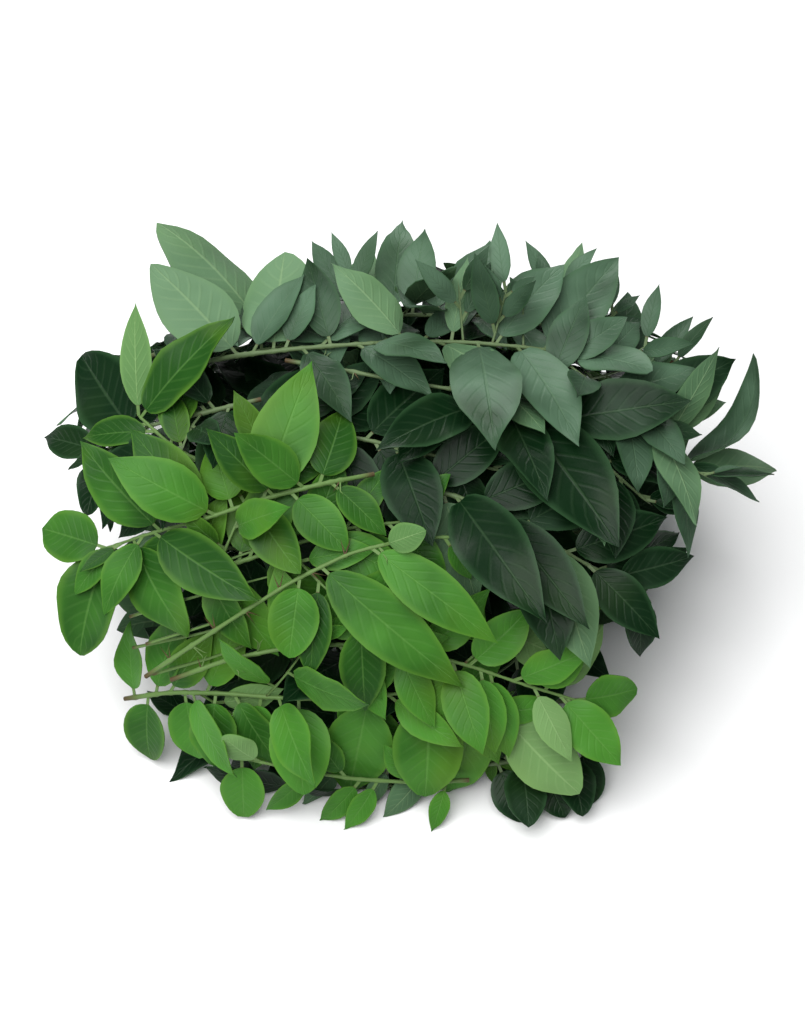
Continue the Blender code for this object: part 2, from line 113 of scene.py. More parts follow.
def leaning(vector, towards, angle):
    """A vector turned by an angle towards another that stands square to it."""
    return vector * math.cos(angle) + towards * math.sin(angle)


def square_to(axis, vector):
    """The part of a vector that stands square to an axis, made 1 long."""
    return (vector - axis * vector.dot(axis)).normalized()


def smooth(values):
    """Values along a smooth curve through the given ones, and the last of them."""
    ends = [values[0], *values, values[-1]]
    for a, b, c, d in zip(ends, ends[1:], ends[2:], ends[3:]):
        for step in range(SAMPLES_PER_SPAN):
            t = step / SAMPLES_PER_SPAN
            curved = (a * 2 - b * 5 + c * 4 - d) * t**2 + (b * 3 - a - c * 3 + d) * t**3
            yield (b * 2 + (c - a) * t + curved) / 2
    yield values[-1]


class Stem:
    """A stem's course from its cut end to its tip, in straight steps."""

    def __init__(self, places, step=STEM_STEP, girth=1.0):
        self.girth = girth
        points = [self.off_table(p) for p in smooth([point for point, _ in places])]
        outwards = list(smooth([outward for _, outward in places]))
        reached = [0.0]
        for near, far in zip(points, points[1:]):
            reached.append(reached[-1] + (far - near).length)
        count = max(2, round(reached[-1] / step))
        stops = [reached[-1] * n / count for n in range(count + 1)]
        chosen = [min(range(len(points)), key=lambda i: abs(reached[i] - stop)) for stop in stops]
        self.points = [points[i] for i in chosen]
        self.outwards = [outwards[i].normalized() for i in chosen]
        self.distances = [0.0]
        for near, far in zip(self.points, self.points[1:]):
            self.distances.append(self.distances[-1] + (far - near).length)
        self.length = self.distances[-1]

    @staticmethod
    def off_table(point):
        return Vector((point.x, point.y, max(point.z, CUT_RADIUS + STEM_GAP)))

    def at(self, distance):
        """(point, tangent, outward) this far from the cut end."""
        distance = min(max(distance, 0.0), self.length)
        i = next((n for n, d in enumerate(self.distances[1:]) if d >= distance), len(self.points) - 2)
        near, far = self.distances[i], self.distances[i + 1]
        share = (distance - near) / (far - near)
        tangent = (self.points[i + 1] - self.points[i]).normalized()
        outward = square_to(tangent, self.outwards[i].lerp(self.outwards[i + 1], share))
        return self.points[i].lerp(self.points[i + 1], share), tangent, outward

    def distance_at(self, x):
        """How far from the cut end the stem passes x."""
        shares = [n / DISTANCE_STEPS for n in range(DISTANCE_STEPS + 1)]
        return min((s * self.length for s in shares), key=lambda distance: abs(self.at(distance)[0].x - x))

    def radius(self, distance):
        return self.girth * (CUT_RADIUS + (TIP_RADIUS - CUT_RADIUS) * distance / self.length)

    def solid(self, extra=0.0):
        """A tapered tube of rings, with a flat cut end and a pointed tip."""
        bm = bmesh.new()
        rings = []
        for point, outward, distance in zip(self.points, self.outwards, self.distances):
            _, tangent, _ = self.at(distance)
            outward = square_to(tangent, outward)
            side = tangent.cross(outward)
            radius = self.radius(distance) + extra
            angles = [math.tau * k / STEM_SIDES for k in range(STEM_SIDES)]
            rings.append([bm.verts.new(point + leaning(outward, side, a) * radius) for a in angles])
        for near, far in zip(rings, rings[1:]):
            for k in range(STEM_SIDES):
                bm.faces.new((near[k - 1], near[k], far[k], far[k - 1]))
        bm.faces.new(rings[0])
        bm.faces.new(reversed(rings[-1]))
        bmesh.ops.recalc_face_normals(bm, faces=bm.faces)
        bmesh.ops.triangulate(bm, faces=bm.faces)
        return bm


# How the leaves lie. They are thin ovate blades on short stalks, each with a slight arch, a fold
# along its midrib and a twist, and what reaches the table lies flat on it. Their plain solids here
# are never shown either.
BLADE_THICKNESS = 0.7 * MM
LEAF_GAP = 0.45 * MM
ROOM_TO_SPARE = 1.3
PETIOLE_LENGTH = 4.5 * MM
PETIOLE_HALF_WIDTH = 0.7 * MM
BROADEST_AT = 0.42
BASE_ROUNDNESS = 0.5
WIDTH_SHARE = 0.48
SHORTEST_LEAF = 18 * MM
MIDRIB_STEPS = 24
STEEPEST_LANDING = 0.55
DEEPEST_EDGE = 4 * MM
# Drawn for each leaf, in degrees.
ARCHES = (12, 38)
FOLDS = (4, 14)
TWISTS = (-14, 14)
# The rows of points across a leaf's rough form, for what it must keep clear of.
LEAF_ROWS = (
    (-1.0, (-1, 1)),
    (0.0, (-1, 1)),
    (0.13, (-1, 1)),
    (0.42, (-1, 0, 1)),
    (0.74, (-1, 0, 1)),
    (1.0, (0,)),
)
PLAIN_LEAF_ROWS = ((-1.0, (-1, 1)), (0.0, (-1, 1)), (0.24, (-1, 1)), (0.66, (-1, 1)), (1.0, (0,)))
# A leaf that meets another is lifted, dipped, turned or shortened until it is clear.
LIFT_TRIES = (0, 4, 8, -5, 12, 17, -10, 22, 28, 35, 42)
PITCH_TRIES = (0, 14, -14)
LENGTH_TRIES = (1.0, 0.84, 0.68)


def outline(u):
    """A leaf's half width at u along its blade, as a share of its greatest."""
    tip_sharpness = BASE_ROUNDNESS * (1 - BROADEST_AT) / BROADEST_AT
    greatest = BROADEST_AT**BASE_ROUNDNESS * (1 - BROADEST_AT) ** tip_sharpness
    return u**BASE_ROUNDNESS * (1 - u) ** tip_sharpness / greatest


def midrib(leaf):
    """(u, point, forward, up) along a leaf from its petiole's end, laid flat where it meets the table."""
    point, on_table = leaf.root + leaf.forward * PETIOLE_LENGTH, BLADE_THICKNESS / 2
    yield 0.0, point, leaf.forward, leaf.up
    for n in range(1, MIDRIB_STEPS + 1):
        angle = leaf.bend * n / MIDRIB_STEPS
        forward, up = leaning(leaf.forward, -leaf.up, angle), leaning(leaf.up, leaf.forward, angle)
        if point.z + forward.z * leaf.length / MIDRIB_STEPS < on_table:
            forward = Vector((forward.x, forward.y, 0)).normalized()
            up = Vector((0, 0, math.copysign(1, leaf.up.z)))
            point = Vector((point.x, point.y, on_table))
        point = point + forward * leaf.length / MIDRIB_STEPS
        yield n / MIDRIB_STEPS, point, forward, up


def lands_badly(leaf):
    """Whether a leaf comes down on the table too steeply to lie flat on it, or on its edge."""
    height = leaf.root.z + leaf.forward.z * PETIOLE_LENGTH
    for n in range(MIDRIB_STEPS):
        angle = leaf.bend * n / MIDRIB_STEPS
        fall = leaf.forward.z * math.cos(angle) - leaf.up.z * math.sin(angle)
        if height < BLADE_THICKNESS / 2:
            return n == 0 or fall < -STEEPEST_LANDING
        side = leaf.up.cross(leaf.forward)
        if height - abs(side.z) * leaf.width / 2 < -DEEPEST_EDGE:
            return True
        height += fall * leaf.length / MIDRIB_STEPS
    return False


def leaf_points(leaf):
    """The rows of a leaf's middle surface, each a list of (point, up)."""
    course = list(midrib(leaf))
    for u, across in leaf.rows:
        reached = max(0, round(u * MIDRIB_STEPS))
        _, middle, forward, up = course[reached]
        half = PETIOLE_HALF_WIDTH
        if u < 0:
            middle = leaf.root
        elif u > 0:
            half = outline(u) * leaf.width / 2
        side = up.cross(forward)
        lies_flat = abs(up.z) == 1
        roll = 0 if lies_flat else leaf.twist * max(u, 0)
        fold = 0 if lies_flat else leaf.fold
        side, up = leaning(side, up, roll), leaning(up, -side, roll)
        row = []
        for v in across:
            point = middle + side * v * half * math.cos(fold) + up * abs(v) * half * math.sin(fold)
            if point.z < BLADE_THICKNESS / 2:
                point.z = BLADE_THICKNESS / 2
                row.append((point, Vector((0, 0, math.copysign(1, leaf.up.z)))))
            else:
                row.append((point, up))
        yield row


def fill_strip(bm, near, far, facing_up):
    """Triangles between two rows of points."""
    i, j, last_near, last_far = 0, 0, len(near) - 1, len(far) - 1
    while i < last_near or j < last_far:
        if j == last_far or (i < last_near and (i + 1) * last_far <= (j + 1) * last_near):
            corners = (near[i], far[j], near[i + 1])
            i += 1
        else:
            corners = (near[i], far[j], far[j + 1])
            j += 1
        bm.faces.new(corners if facing_up else reversed(corners))


def leaf_solid(leaf, gap=0.0, first_row=0):
    """A leaf as a closed solid, split into triangles alike on both faces."""
    bm = bmesh.new()
    half = BLADE_THICKNESS / 2 + gap
    upper, lower = [], []
    for row in list(leaf_points(leaf))[first_row:]:
        upper.append([bm.verts.new(point + up * half) for point, up in row])
        lower.append([bm.verts.new(point - up * half) for point, up in row])
    for sheet, facing_up in ((upper, True), (lower, False)):
        for near, far in zip(sheet, sheet[1:]):
            fill_strip(bm, near, far, facing_up)
    left = [(a[0], b[0]) for a, b in zip(upper, lower)]
    right = [(a[-1], b[-1]) for a, b in zip(upper, lower)]
    border = left + right[-2::-1]
    for (top, bottom), (next_top, next_bottom) in zip(border, border[1:] + border[:1]):
        bm.faces.new((top, bottom, next_bottom))
        bm.faces.new((top, next_bottom, next_top))
    return bm


# More stems and leaves than the heap ever holds.
MOST_SOLIDS = 6000


class Heap:
    """What has been laid in the heap so far, to keep the next piece clear of it."""

    def __init__(self, leaf_gap=LEAF_GAP):
        self.leaf_gap = leaf_gap
        self.solids = []
        self.low = np.full((MOST_SOLIDS, 3), np.inf)
        self.high = np.full((MOST_SOLIDS, 3), -np.inf)

    def add(self, bm, owner):
        points = np.array([v.co for v in bm.verts])
        self.low[len(self.solids)] = points.min(axis=0)
        self.high[len(self.solids)] = points.max(axis=0)
        self.solids.append((BVHTree.FromBMesh(bm), owner))

    def add_leaf(self, leaf, owner):
        self.add(leaf_solid(leaf, self.leaf_gap), owner)

    def meets(self, bm, leave_out=None, only=None):
        points = np.array([v.co for v in bm.verts])
        near = (self.low <= points.max(axis=0)) & (self.high >= points.min(axis=0))
        tree = None
        for n in np.flatnonzero(near.all(axis=1)):
            other, owner = self.solids[n]
            if owner == leave_out or (only and owner != only):
                continue
            tree = tree or BVHTree.FromBMesh(bm)
            if tree.overlap(other):
                return True
        return False


def turned(vector, axis, degrees):
    return Matrix.Rotation(math.radians(degrees), 3, axis) @ vector


def aimed_leaf(stem, distance, heading, lift, pitch, length, face, shape):
    """A leaf at a joint, heading in the skin's plane and lifted off it."""
    root, _, outward = stem.at(distance)
    forward = leaning(heading, outward, math.radians(lift)).normalized()
    up = turned(square_to(forward, outward) * face, forward, pitch)
    bend, fold, twist, width_share, rows = shape
    return Leaf(root, forward, up, length, length * width_share, bend * face, fold, twist, rows)


def grow(heap, stem, sprig, distance, heading, lift, length, width_share, face, rng, arch=None, roll=0):
    """Lays one leaf in the heap, clear of what lies there. None if there is no room for it."""
    drawn = rng.uniform(*ARCHES)
    shape = (
        math.radians(drawn if arch is None else arch),
        math.radians(rng.uniform(*FOLDS)),
        math.radians(rng.uniform(*TWISTS)),
        width_share,
        sprig.rows,
    )
    for share in LENGTH_TRIES:
        if length * share < SHORTEST_LEAF:
            break
        for pitch in PITCH_TRIES:
            for extra in LIFT_TRIES:
                raised, rolled = lift + extra, roll + pitch
                leaf = aimed_leaf(stem, distance, heading, raised, rolled, length * share, face, shape)
                if is_clear(heap, leaf, sprig.name):
                    return leaf
    return None


def is_clear(heap, leaf, owner):
    if lands_badly(leaf):
        return False
    solid = leaf_solid(leaf, heap.leaf_gap * ROOM_TO_SPARE)
    blocked = heap.meets(solid, leave_out=("stem", owner))
    solid.free()
    if blocked:
        return False
    blade = leaf_solid(leaf, heap.leaf_gap * ROOM_TO_SPARE, first_row=1)
    blocked = heap.meets(blade, only=("stem", owner))
    blade.free()
    return not blocked


def posed_leaves(heap, sprig, stem, rng):
    """The sprig's listed leaves, as (distance, leaf)."""
    grown = []
    for x, heading, lift, length, width, face, *own in sprig.posed:
        distance = stem.distance_at(x * MM)
        _, _, outward = stem.at(distance)
        across = square_to(outward, Vector((1, 0, 0)))
        aim = leaning(across, outward.cross(across), math.radians(heading))
        leaf = grow(heap, stem, sprig, distance, aim, lift, length * MM, width / length, face, rng, *own)
        grown.append((distance, leaf))
        if leaf:
            heap.add_leaf(leaf, sprig.name)
    return grown


# A leaf in a row stands off its stem at an angle, in degrees, that closes up towards the tip. The
# leaves are longest in the middle of the sprig, and their joints and sizes are a little uneven.
SPREADS = (52, 74)
CLOSER_AT_TIP = 22
LIFTS = (-6, 12)
SHORTEST_SHARE = 0.8
LONGER_IN_MIDDLE = 0.25
SHORTER_AT_TIP = 0.4
TIP_POWER = 4
UNEVEN_GAPS = (0.9, 1.15)
UNEVEN_LENGTHS = (0.88, 1.1)
UNEVEN_WIDTHS = (0.92, 1.15)
FREE_OF_POSED = 0.55
PALE_SHARE = 0.12


def off_stem(tangent, outward, side, spread):
    """A heading that leaves a stem on one side of it, 1 or -1, at an angle to it."""
    return leaning(tangent, outward.cross(tangent) * side, spread)


def leaves_in_rows(heap, sprig, stem, posed, rng, pale_share=PALE_SHARE):
    """The rest of the sprig's leaves: one at each joint, left and right in turn, smaller at the tip."""
    grown = []
    distance, side = sprig.bare * MM, 1
    while distance < stem.length:
        if all(abs(distance - taken) > FREE_OF_POSED * sprig.gap * MM for taken, _ in posed):
            share = (distance - sprig.bare * MM) / (stem.length - sprig.bare * MM)
            fullest = SHORTEST_SHARE + LONGER_IN_MIDDLE * math.sin(math.pi * share)
            length = sprig.leaf * MM * fullest * (1 - SHORTER_AT_TIP * share**TIP_POWER)
            spread = math.radians(rng.uniform(*SPREADS) - CLOSER_AT_TIP * share)
            _, tangent, outward = stem.at(distance)
            heading = off_stem(tangent, outward, side, spread)
            face = -1 if rng.random() < pale_share else 1
            lift = rng.uniform(*LIFTS)
            length *= rng.uniform(*UNEVEN_LENGTHS)
            width_share = WIDTH_SHARE * rng.uniform(*UNEVEN_WIDTHS)
            leaf = grow(heap, stem, sprig, distance, heading, lift, length, width_share, face, rng)
            if leaf:
                heap.add_leaf(leaf, sprig.name)
                grown.append((distance, leaf))
        distance += sprig.gap * MM * rng.uniform(*UNEVEN_GAPS)
        side = -side
    return grown


# The sprigs as they are laid. A sprig is its route over the heap from its cut end to its tip, its
# bare length, the gap between its joints and its common leaf, in mm, and the leaves that are listed
# one by one: (x, heading, lift, length, width, face), and for some their arch and roll.
Sprig = namedtuple("Sprig", "name tone route bare gap leaf posed rows", defaults=(LEAF_ROWS,))
Leaf = namedtuple("Leaf", "root forward up length width bend fold twist rows")

MATURE_SPRIGS = (
    Sprig("dark_sprig_low", "mature",
          ((-1, 64, 15), (29, 60, 12), (55, 54, 10), (79, 48, 10), (105, 42, 10)),
          12, 11, 50, ((22, -56, 0, 70, 30, 1), (41, -54, 0, 60, 24, 1), (78, -48, 3, 40, 20, 1))),
    Sprig("dark_sprig_mid", "mature",
          ((12, 79, 10), (46, 80, 9), (72, 75, 8), (90, 67, 8), (108, 61, 8)),
          12, 11, 48, ((49, -58, 1, 72, 38, 1), (70, -38, 10, 44, 22, 1), (33, -145, 2, 52, 23, 1),
           (22, -130, 2, 34, 18, 1))),
    Sprig("dark_sprig_heart", "mature",
          ((-76, 80, 16), (-31, 75, 15), (12, 70, 16), (42, 67, 18)),
          10, 12, 48, ()),
    Sprig("dark_sprig_left", "mature",
          ((-62, 83, 12), (-94, 80, 9), (-116, 79, 6), (-134, 76, 5)),
          14, 10, 44, ((-115, 123, 12, 52, 33, 1), (-129, 153, 16, 34, 16, 1), (-127, -110, 4, 26, 18, 1))),
    Sprig("dark_sprig_bare", "mature",
          ((-51, 92, 8), (-27, 88, 7), (16, 83, 6), (42, 83, 10), (70, 85, 16)),
          84, 12, 40, ()),
    Sprig("dark_sprig_right", "mature",
          ((51, 88, 10), (82, 87, 8), (104, 82, 5), (115, 75, 3), (122, 69, 3)),
          14, 11, 42, ((118, 14, 10, 64, 26, 1, -100, -65), (121, 18, 8, 58, 18, -1),
           (111, 50, 28, 38, 15, -1), (106, 24, 24, 40, 14, -1), (108, -80, 14, 50, 20, -1),
           (116, -86, 14, 44, 14, 1), (99, -60, 14, 34, 18, 1), (91, -47, 6, 24, 16, 1))),
    Sprig("dark_sprig_crest", "mature",
          ((-121, 112, 8), (-77, 108, 5), (-40, 110, 5), (8, 110, 5), (56, 109, 5), (97, 101, 6)),
          12, 12, 44, ((-64, 144, 52, 62, 37, -1), (-80, 124, 30, 50, 26, -1), (-23, 74, 40, 38, 16, -1),
           (-4, 84, 52, 48, 19, 1), (16, 107, 36, 30, 16, 1), (36, 86, 46, 40, 14, 1),
           (56, 68, 34, 39, 16, -1), (68, 76, 44, 42, 13, -1), (82, 30, 24, 24, 15, 1))),
    Sprig("dark_sprig_ridge", "mature",
          ((-100, 96, 8), (-71, 93, 4), (-40, 93, 3), (16, 95, 3), (73, 94, 4), (107, 95, 8)),
          20, 12, 44, ((-71, 132, 14, 54, 32, -1), (-55, 83, 20, 48, 36, -1), (-31, 104, 24, 40, 18, 1),
           (1, 136, 30, 44, 22, -1), (21, 79, 40, 36, 12, -1), (32, -86, 12, 70, 31, 1),
           (49, -66, 8, 58, 26, 1), (61, 56, 28, 54, 28, 1), (72, -28, 8, 34, 24, 1),
           (86, 58, 22, 26, 14, 1), (104, 60, 30, 20, 13, -1))),
)
YOUNG_SPRIGS = (
    Sprig("young_sprig_under", "young",
          ((-106, 45, 10), (-80, 47, 10), (-50, 51, 10), (-20, 55, 10), (4, 56, 12)),
          14, 11, 44, ()),
    Sprig("young_sprig_upright", "young",
          ((-82, 67, 10), (-101, 73, 6), (-111, 78, 3), (-114, 81, 2)),
          10, 11, 34, ((-112, 37, 24, 57, 24, 1), (-113, 86, 34, 46, 14, -1))),
    Sprig("young_sprig_base", "young",
          ((-128, 14, 10), (-98, 20, 12), (-62, 21, 11), (-27, 21, 10), (12, 23, 9), (51, 16, 8)),
          6, 10, 42, ((-111, -96, 4, 30, 22, 1), (-94, -82, 2, 28, 20, 1), (-80, -87, 4, 28, 22, 1),
           (-61, -98, 0, 34, 19, 1), (-44, -86, 5, 38, 27, 1), (-14, -101, 4, 50, 30, 1),
           (12, -92, 8, 44, 31, 1), (32, -102, 3, 48, 26, 1), (45, -46, 5, 42, 29, -1))),
    Sprig("young_sprig_foot", "young",
          ((29, 6, 0), (-5, 6, -1), (-39, 9, -3), (-69, 12, -4)),
          10, 15, 24, ((-69, -90, 6, 27, 20, 1), (-61, 133, 10, 20, 13, -1))),
    Sprig("young_sprig_low", "young",
          ((-100, 25, 3), (-66, 31, 6), (-22, 33, 8), (22, 30, 6), (50, 26, 4), (75, 22, 3)),
          70, 10, 38, ((28, 44, 8, 30, 20, 1), (53, 34, 8, 25, 19, 1), (60, 42, 4, 34, 20, -1),
           (74, 5, 6, 24, 20, 1), (67, -50, 4, 36, 21, 1), (16, -77, 4, 26, 18, 1))),
    Sprig("young_sprig_left", "young",
          ((-12, 65, 9), (-30, 63, 3), (-59, 60, 3), (-90, 56, 4), (-115, 54, 3), (-128, 52, 2)),
          24, 11, 42, ((-30, -42, 8, 28, 15, 1), (-35, 72, 6, 32, 21, 1), (-58, 70, 12, 57, 28, 1),
           (-47, -46, 2, 30, 19, 1), (-64, -53, 2, 33, 20, 1), (-71, 108, 4, 28, 20, 1),
           (-82, 132, 5, 48, 24, 1), (-105, -32, 6, 52, 25, 1), (-102, 128, 10, 47, 25, 1),
           (-114, -66, 4, 44, 26, 1), (-125, -112, 6, 46, 31, 1), (-126, 162, 8, 30, 23, 1))),
    Sprig("young_sprig_front", "young",
          ((-111, 25, 2), (-66, 40, 1), (-43, 46, 0), (-11, 52, 0), (12, 53, 3), (34, 53, 4)),
          144, 10, 20, ((-43, -98, 4, 30, 22, 1), (-34, -41, 3, 76, 26, 1), (-13, -37, 8, 63, 22, 1),
           (-8, 20, 20, 20, 13, -1))),
)
# The dark sprig at the foot: its deep mature green along the heap's lower edge is partly painted shade.
FOOT_SPRIG = Sprig(
    "dark_sprig_foot", "mature",
    ((92, 8, 12), (52, 6, 9), (8, 6, 8), (-46, 7, 9), (-84, 10, 11)),
    10, 17, 24, ((78, -84, 0, 22, 16, 1), (60, -66, 0, 24, 18, 1), (42, -66, 6, 24, 17, 1)),
    PLAIN_LEAF_ROWS,
)
# Over the back, each at its turn, and swerving a little on its way.
BACK_TURNS = (122, 134, 146, 158, 170)
BACK_SHARES = (-1, -0.4, 0.3, 1)
BACK_REACH = 128
BACK_DEPTH = 8
BACK_SWERVE = 3
YOUNG_BACK_PLACE = 3
# Inside the heap, as (y, z, left end, right end), from the table up.
CORE_SHARES = (0.0, 0.35, 0.7, 1.0)
CORE_SWERVE = 6
CORE_PLACES = (
    (-84, 4, -92, 80),
    (-30, 4, -112, 98),
    (28, 4, -116, 112),
    (76, 4, -112, 112),
    (-78, 38, -98, 78),
    (-16, 42, -100, 98),
    (46, 42, -102, 100),
    (-34, 82, -86, 86),
    (28, 86, -84, 84),
)


def back_sprigs():
    """Sprigs that run along the back of the heap, with their tips to the left and right in turn."""
    for n, turn in enumerate(BACK_TURNS):
        reach, swerve = BACK_REACH * (1 if n % 2 else -1), BACK_SWERVE * (-1) ** n
        depth = BACK_DEPTH + BACK_SWERVE * (n % 2)
        route = tuple((reach * s, turn + swerve * s, depth) for s in BACK_SHARES)
        tone = "young" if n == YOUNG_BACK_PLACE else "mature"
        name = f"back_sprig_{n + 1}"
        yield Sprig(name, tone, route, bare=10, gap=18, leaf=54, posed=(), rows=PLAIN_LEAF_ROWS)


def core_sprigs():
    """Sprigs inside the heap and on the table, with their tips to the left and right in turn."""
    for n, (y, z, left, right) in enumerate(CORE_PLACES):
        cut, tip = (left, right) if n % 2 else (right, left)
        swerve = CORE_SWERVE * (-1) ** n
        route = tuple((cut + (tip - cut) * s, y + swerve * (1 - 2 * s), z) for s in CORE_SHARES)
        name = f"inner_sprig_{n + 1}"
        yield Sprig(name, "mature", route, bare=12, gap=22, leaf=56, posed=(), rows=PLAIN_LEAF_ROWS)


ROW_SEED = 100
MOST_OFF = 0.5 * MM


def laid_sprigs(heap):
    """Every sprig with its stem and its leaves, as (sprig, stem, leaves)."""
    on_the_skin = (*MATURE_SPRIGS, *YOUNG_SPRIGS, FOOT_SPRIG, *back_sprigs())
    sprigs = [(s, Stem([under_skin(p) for p in s.route])) for s in on_the_skin]
    sprigs += [(s, Stem([in_core(p) for p in s.route])) for s in core_sprigs()]
    for sprig, stem in sprigs:
        heap.add(stem.solid(STEM_GAP), ("stem", sprig.name))
    posed = [posed_leaves(heap, s, stem, random.Random(n)) for n, (s, stem) in enumerate(sprigs)]
    laid = []
    for n, (sprig, stem) in enumerate(sprigs):
        rows = leaves_in_rows(heap, sprig, stem, posed[n], random.Random(ROW_SEED + n))
        grown = [(d, leaf) for d, leaf in posed[n] + rows if leaf]
        laid.append((sprig, stem, grown))
    return laid


# They are laid as in the solid parts, with the same draws, and what the parts hold tells how far
# the heap was moved to stand on its middle.
laid = laid_sprigs(Heap())
order = {sprig.name: n for n, (sprig, _, _) in enumerate(laid)}

rough = [np.array([v.co for v in stem.solid().verts]) for _, stem, _ in laid]
for _, _, grown in laid:
    rough += [np.array([v.co for v in leaf_solid(leaf).verts]) for _, leaf in grown]
rough = np.vstack(rough)
rough_low, rough_high = rough.min(axis=0), rough.max(axis=0)
TO_MIDDLE = Vector((-(rough_low[0] + rough_high[0]) / 2, -(rough_low[1] + rough_high[1]) / 2, -rough_low[2]))
off = max(abs(a) for a in (Vector(rough_high) + TO_MIDDLE - Vector(cad_box[1])))
if off > MOST_OFF:
    raise ValueError(f"the laid sprigs are {off / MM:.2f} mm off the packed ones")


# The mature sprigs. Older shoots with deep green, satin leaves are heaped over the top and the right,
# those over the ridge painted paler, a painted sheen where the light rakes over it. Each is one stem,
# with side shoots, small leaves at its tips and thin upright tufts, and is laid as one piece where its
# plain solid lies.
SHOOT_FIRST = 12 * MM
SHOOT_LAST = 14 * MM
SHOOT_EVERY = 26 * MM
SHOOT_LENGTH = 58 * MM
SHOOT_STEP = 8 * MM
SHOOT_LEAST_STEPS = 3
SHOOT_SETTLING = 3 * MM
SHOOT_SPREADS = (38, 72)
SHOOT_LENGTHS = (0.75, 1.15)
SHOOT_DEPTHS = (5, 9, 2, 14)
SHOOT_GIRTH = 0.6
UNEVEN_SHOOTS = (0.8, 1.2)
CLOSE_STEM_GAP = 0.1 * MM
# A side shoot's bare length, the gap between its joints and its leaf, in mm.
SHOOT_BARE = 9
SHOOT_GAP = 11
SHOOT_LEAF = 38
# No shoot comes out at the lower right, where the real heap is cut in.
LOW_RIGHT_EDGE = 86 * MM
LOW_RIGHT_TOP = 90 * MM


def fullness(point):
    """1 on the heap's skin, less inside it."""
    depth = HEAP_FRONT_DEPTH if point.y < 0 else HEAP_BACK_DEPTH
    section = math.hypot(point.y / depth, point.z / HEAP_HEIGHT)
    return ((abs(point.x) / HEAP_HALF_WIDTH) ** PLAN_POWER + section**PLAN_POWER) ** (1 / PLAN_POWER)


def skin_slope(point):
    """How fast the fullness grows here, as a vector that points out of the heap."""
    steps = [Vector(row) * MM for row in ((1, 0, 0), (0, 1, 0), (0, 0, 1))]
    return Vector([(fullness(point + s) - fullness(point - s)) / (2 * MM) for s in steps])


def shoot_course(stem, distance, side, spread, length, depth):
    """The places of a side shoot that leaves its stem and settles at a depth under the skin."""
    point, tangent, outward = stem.at(distance)
    heading = off_stem(tangent, outward, side, spread)
    places = [(point.copy(), outward)]
    steps = max(SHOOT_LEAST_STEPS, round(length / SHOOT_STEP))
    for _ in range(steps):
        point = point + heading * (length / steps)
        slope = skin_slope(point)
        away = (1 - fullness(point)) / slope.length - depth * MM
        normal = slope.normalized()
        point = point + normal * max(-SHOOT_SETTLING, min(SHOOT_SETTLING, away))
        heading = square_to(normal, heading)
        places.append((point.copy(), normal))
    return places


def side_shoots(heap, sprig, stem, rng):
    """The side shoots that have room in the heap, each as (its distance along the stem, its own stem)."""
    distance, side = sprig.bare * MM + SHOOT_FIRST, 1
    while distance < stem.length - SHOOT_LAST:
        spread = math.radians(rng.uniform(*SHOOT_SPREADS))
        length = SHOOT_LENGTH * rng.uniform(*SHOOT_LENGTHS)
        for depth in SHOOT_DEPTHS:
            shoot = Stem(shoot_course(stem, distance, side, spread, length, depth), SHOOT_STEP, SHOOT_GIRTH)
            solid = shoot.solid(CLOSE_STEM_GAP)
            low_right = shoot.points[-1].x > LOW_RIGHT_EDGE and shoot.points[-1].z < LOW_RIGHT_TOP
            if not low_right and not heap.meets(solid, leave_out=("stem", sprig.name)):
                heap.add(solid, ("stem", sprig.name))
                yield distance, shoot
                break
        distance += SHOOT_EVERY * rng.uniform(*UNEVEN_SHOOTS)
        side = -side


# How far from the tip each of its small leaves sits, and its length, in mm.
TIP_LEAVES = ((9, 17), (5, 14), (2, 10))
TIP_WIDTH_SHARE = 0.42
TIP_SPREADS = (18, 42)
TIP_ARCHES = (-8, 20)
TIP_FOLDS = (10, 30)
TIP_LIFTS = (4, 34)
UNEVEN_TIPS = (0.85, 1.2)


def growing_tip(heap, owner, stem, rng):
    """The small young leaves round a stem's growing tip, where there is room for them."""
    for n, (back, length) in enumerate(TIP_LEAVES):
        distance = stem.length - back * MM
        _, tangent, outward = stem.at(distance)
        spread = math.radians(rng.uniform(*TIP_SPREADS))
        heading = off_stem(tangent, outward, (-1) ** n, spread).normalized()
        arch, fold = math.radians(rng.uniform(*TIP_ARCHES)), math.radians(rng.uniform(*TIP_FOLDS))
        shape = (arch, fold, 0.0, TIP_WIDTH_SHARE, PLAIN_LEAF_ROWS)
        length *= MM * rng.uniform(*UNEVEN_TIPS)
        leaf = aimed_leaf(stem, distance, heading, rng.uniform(*TIP_LIFTS), 0, length, 1, shape)
        if is_clear(heap, leaf, owner):
            yield leaf


# A tuft is a thin upright shoot with narrow pointed leaves.
TUFT_GIRTH = 0.6
TUFT_BOW = 0.12
TUFT_GAP = 5 * MM
TUFT_SPREADS = (22, 48)
TUFT_ARCHES = (-10, 26)
TUFT_FOLDS = (8, 22)
TUFT_LIFTS = (-4, 30)
TUFT_LEAVES = (24, 36)
TUFT_SHORTER_AT_TIP = 0.3
TUFT_WIDTH_SHARE = 0.36


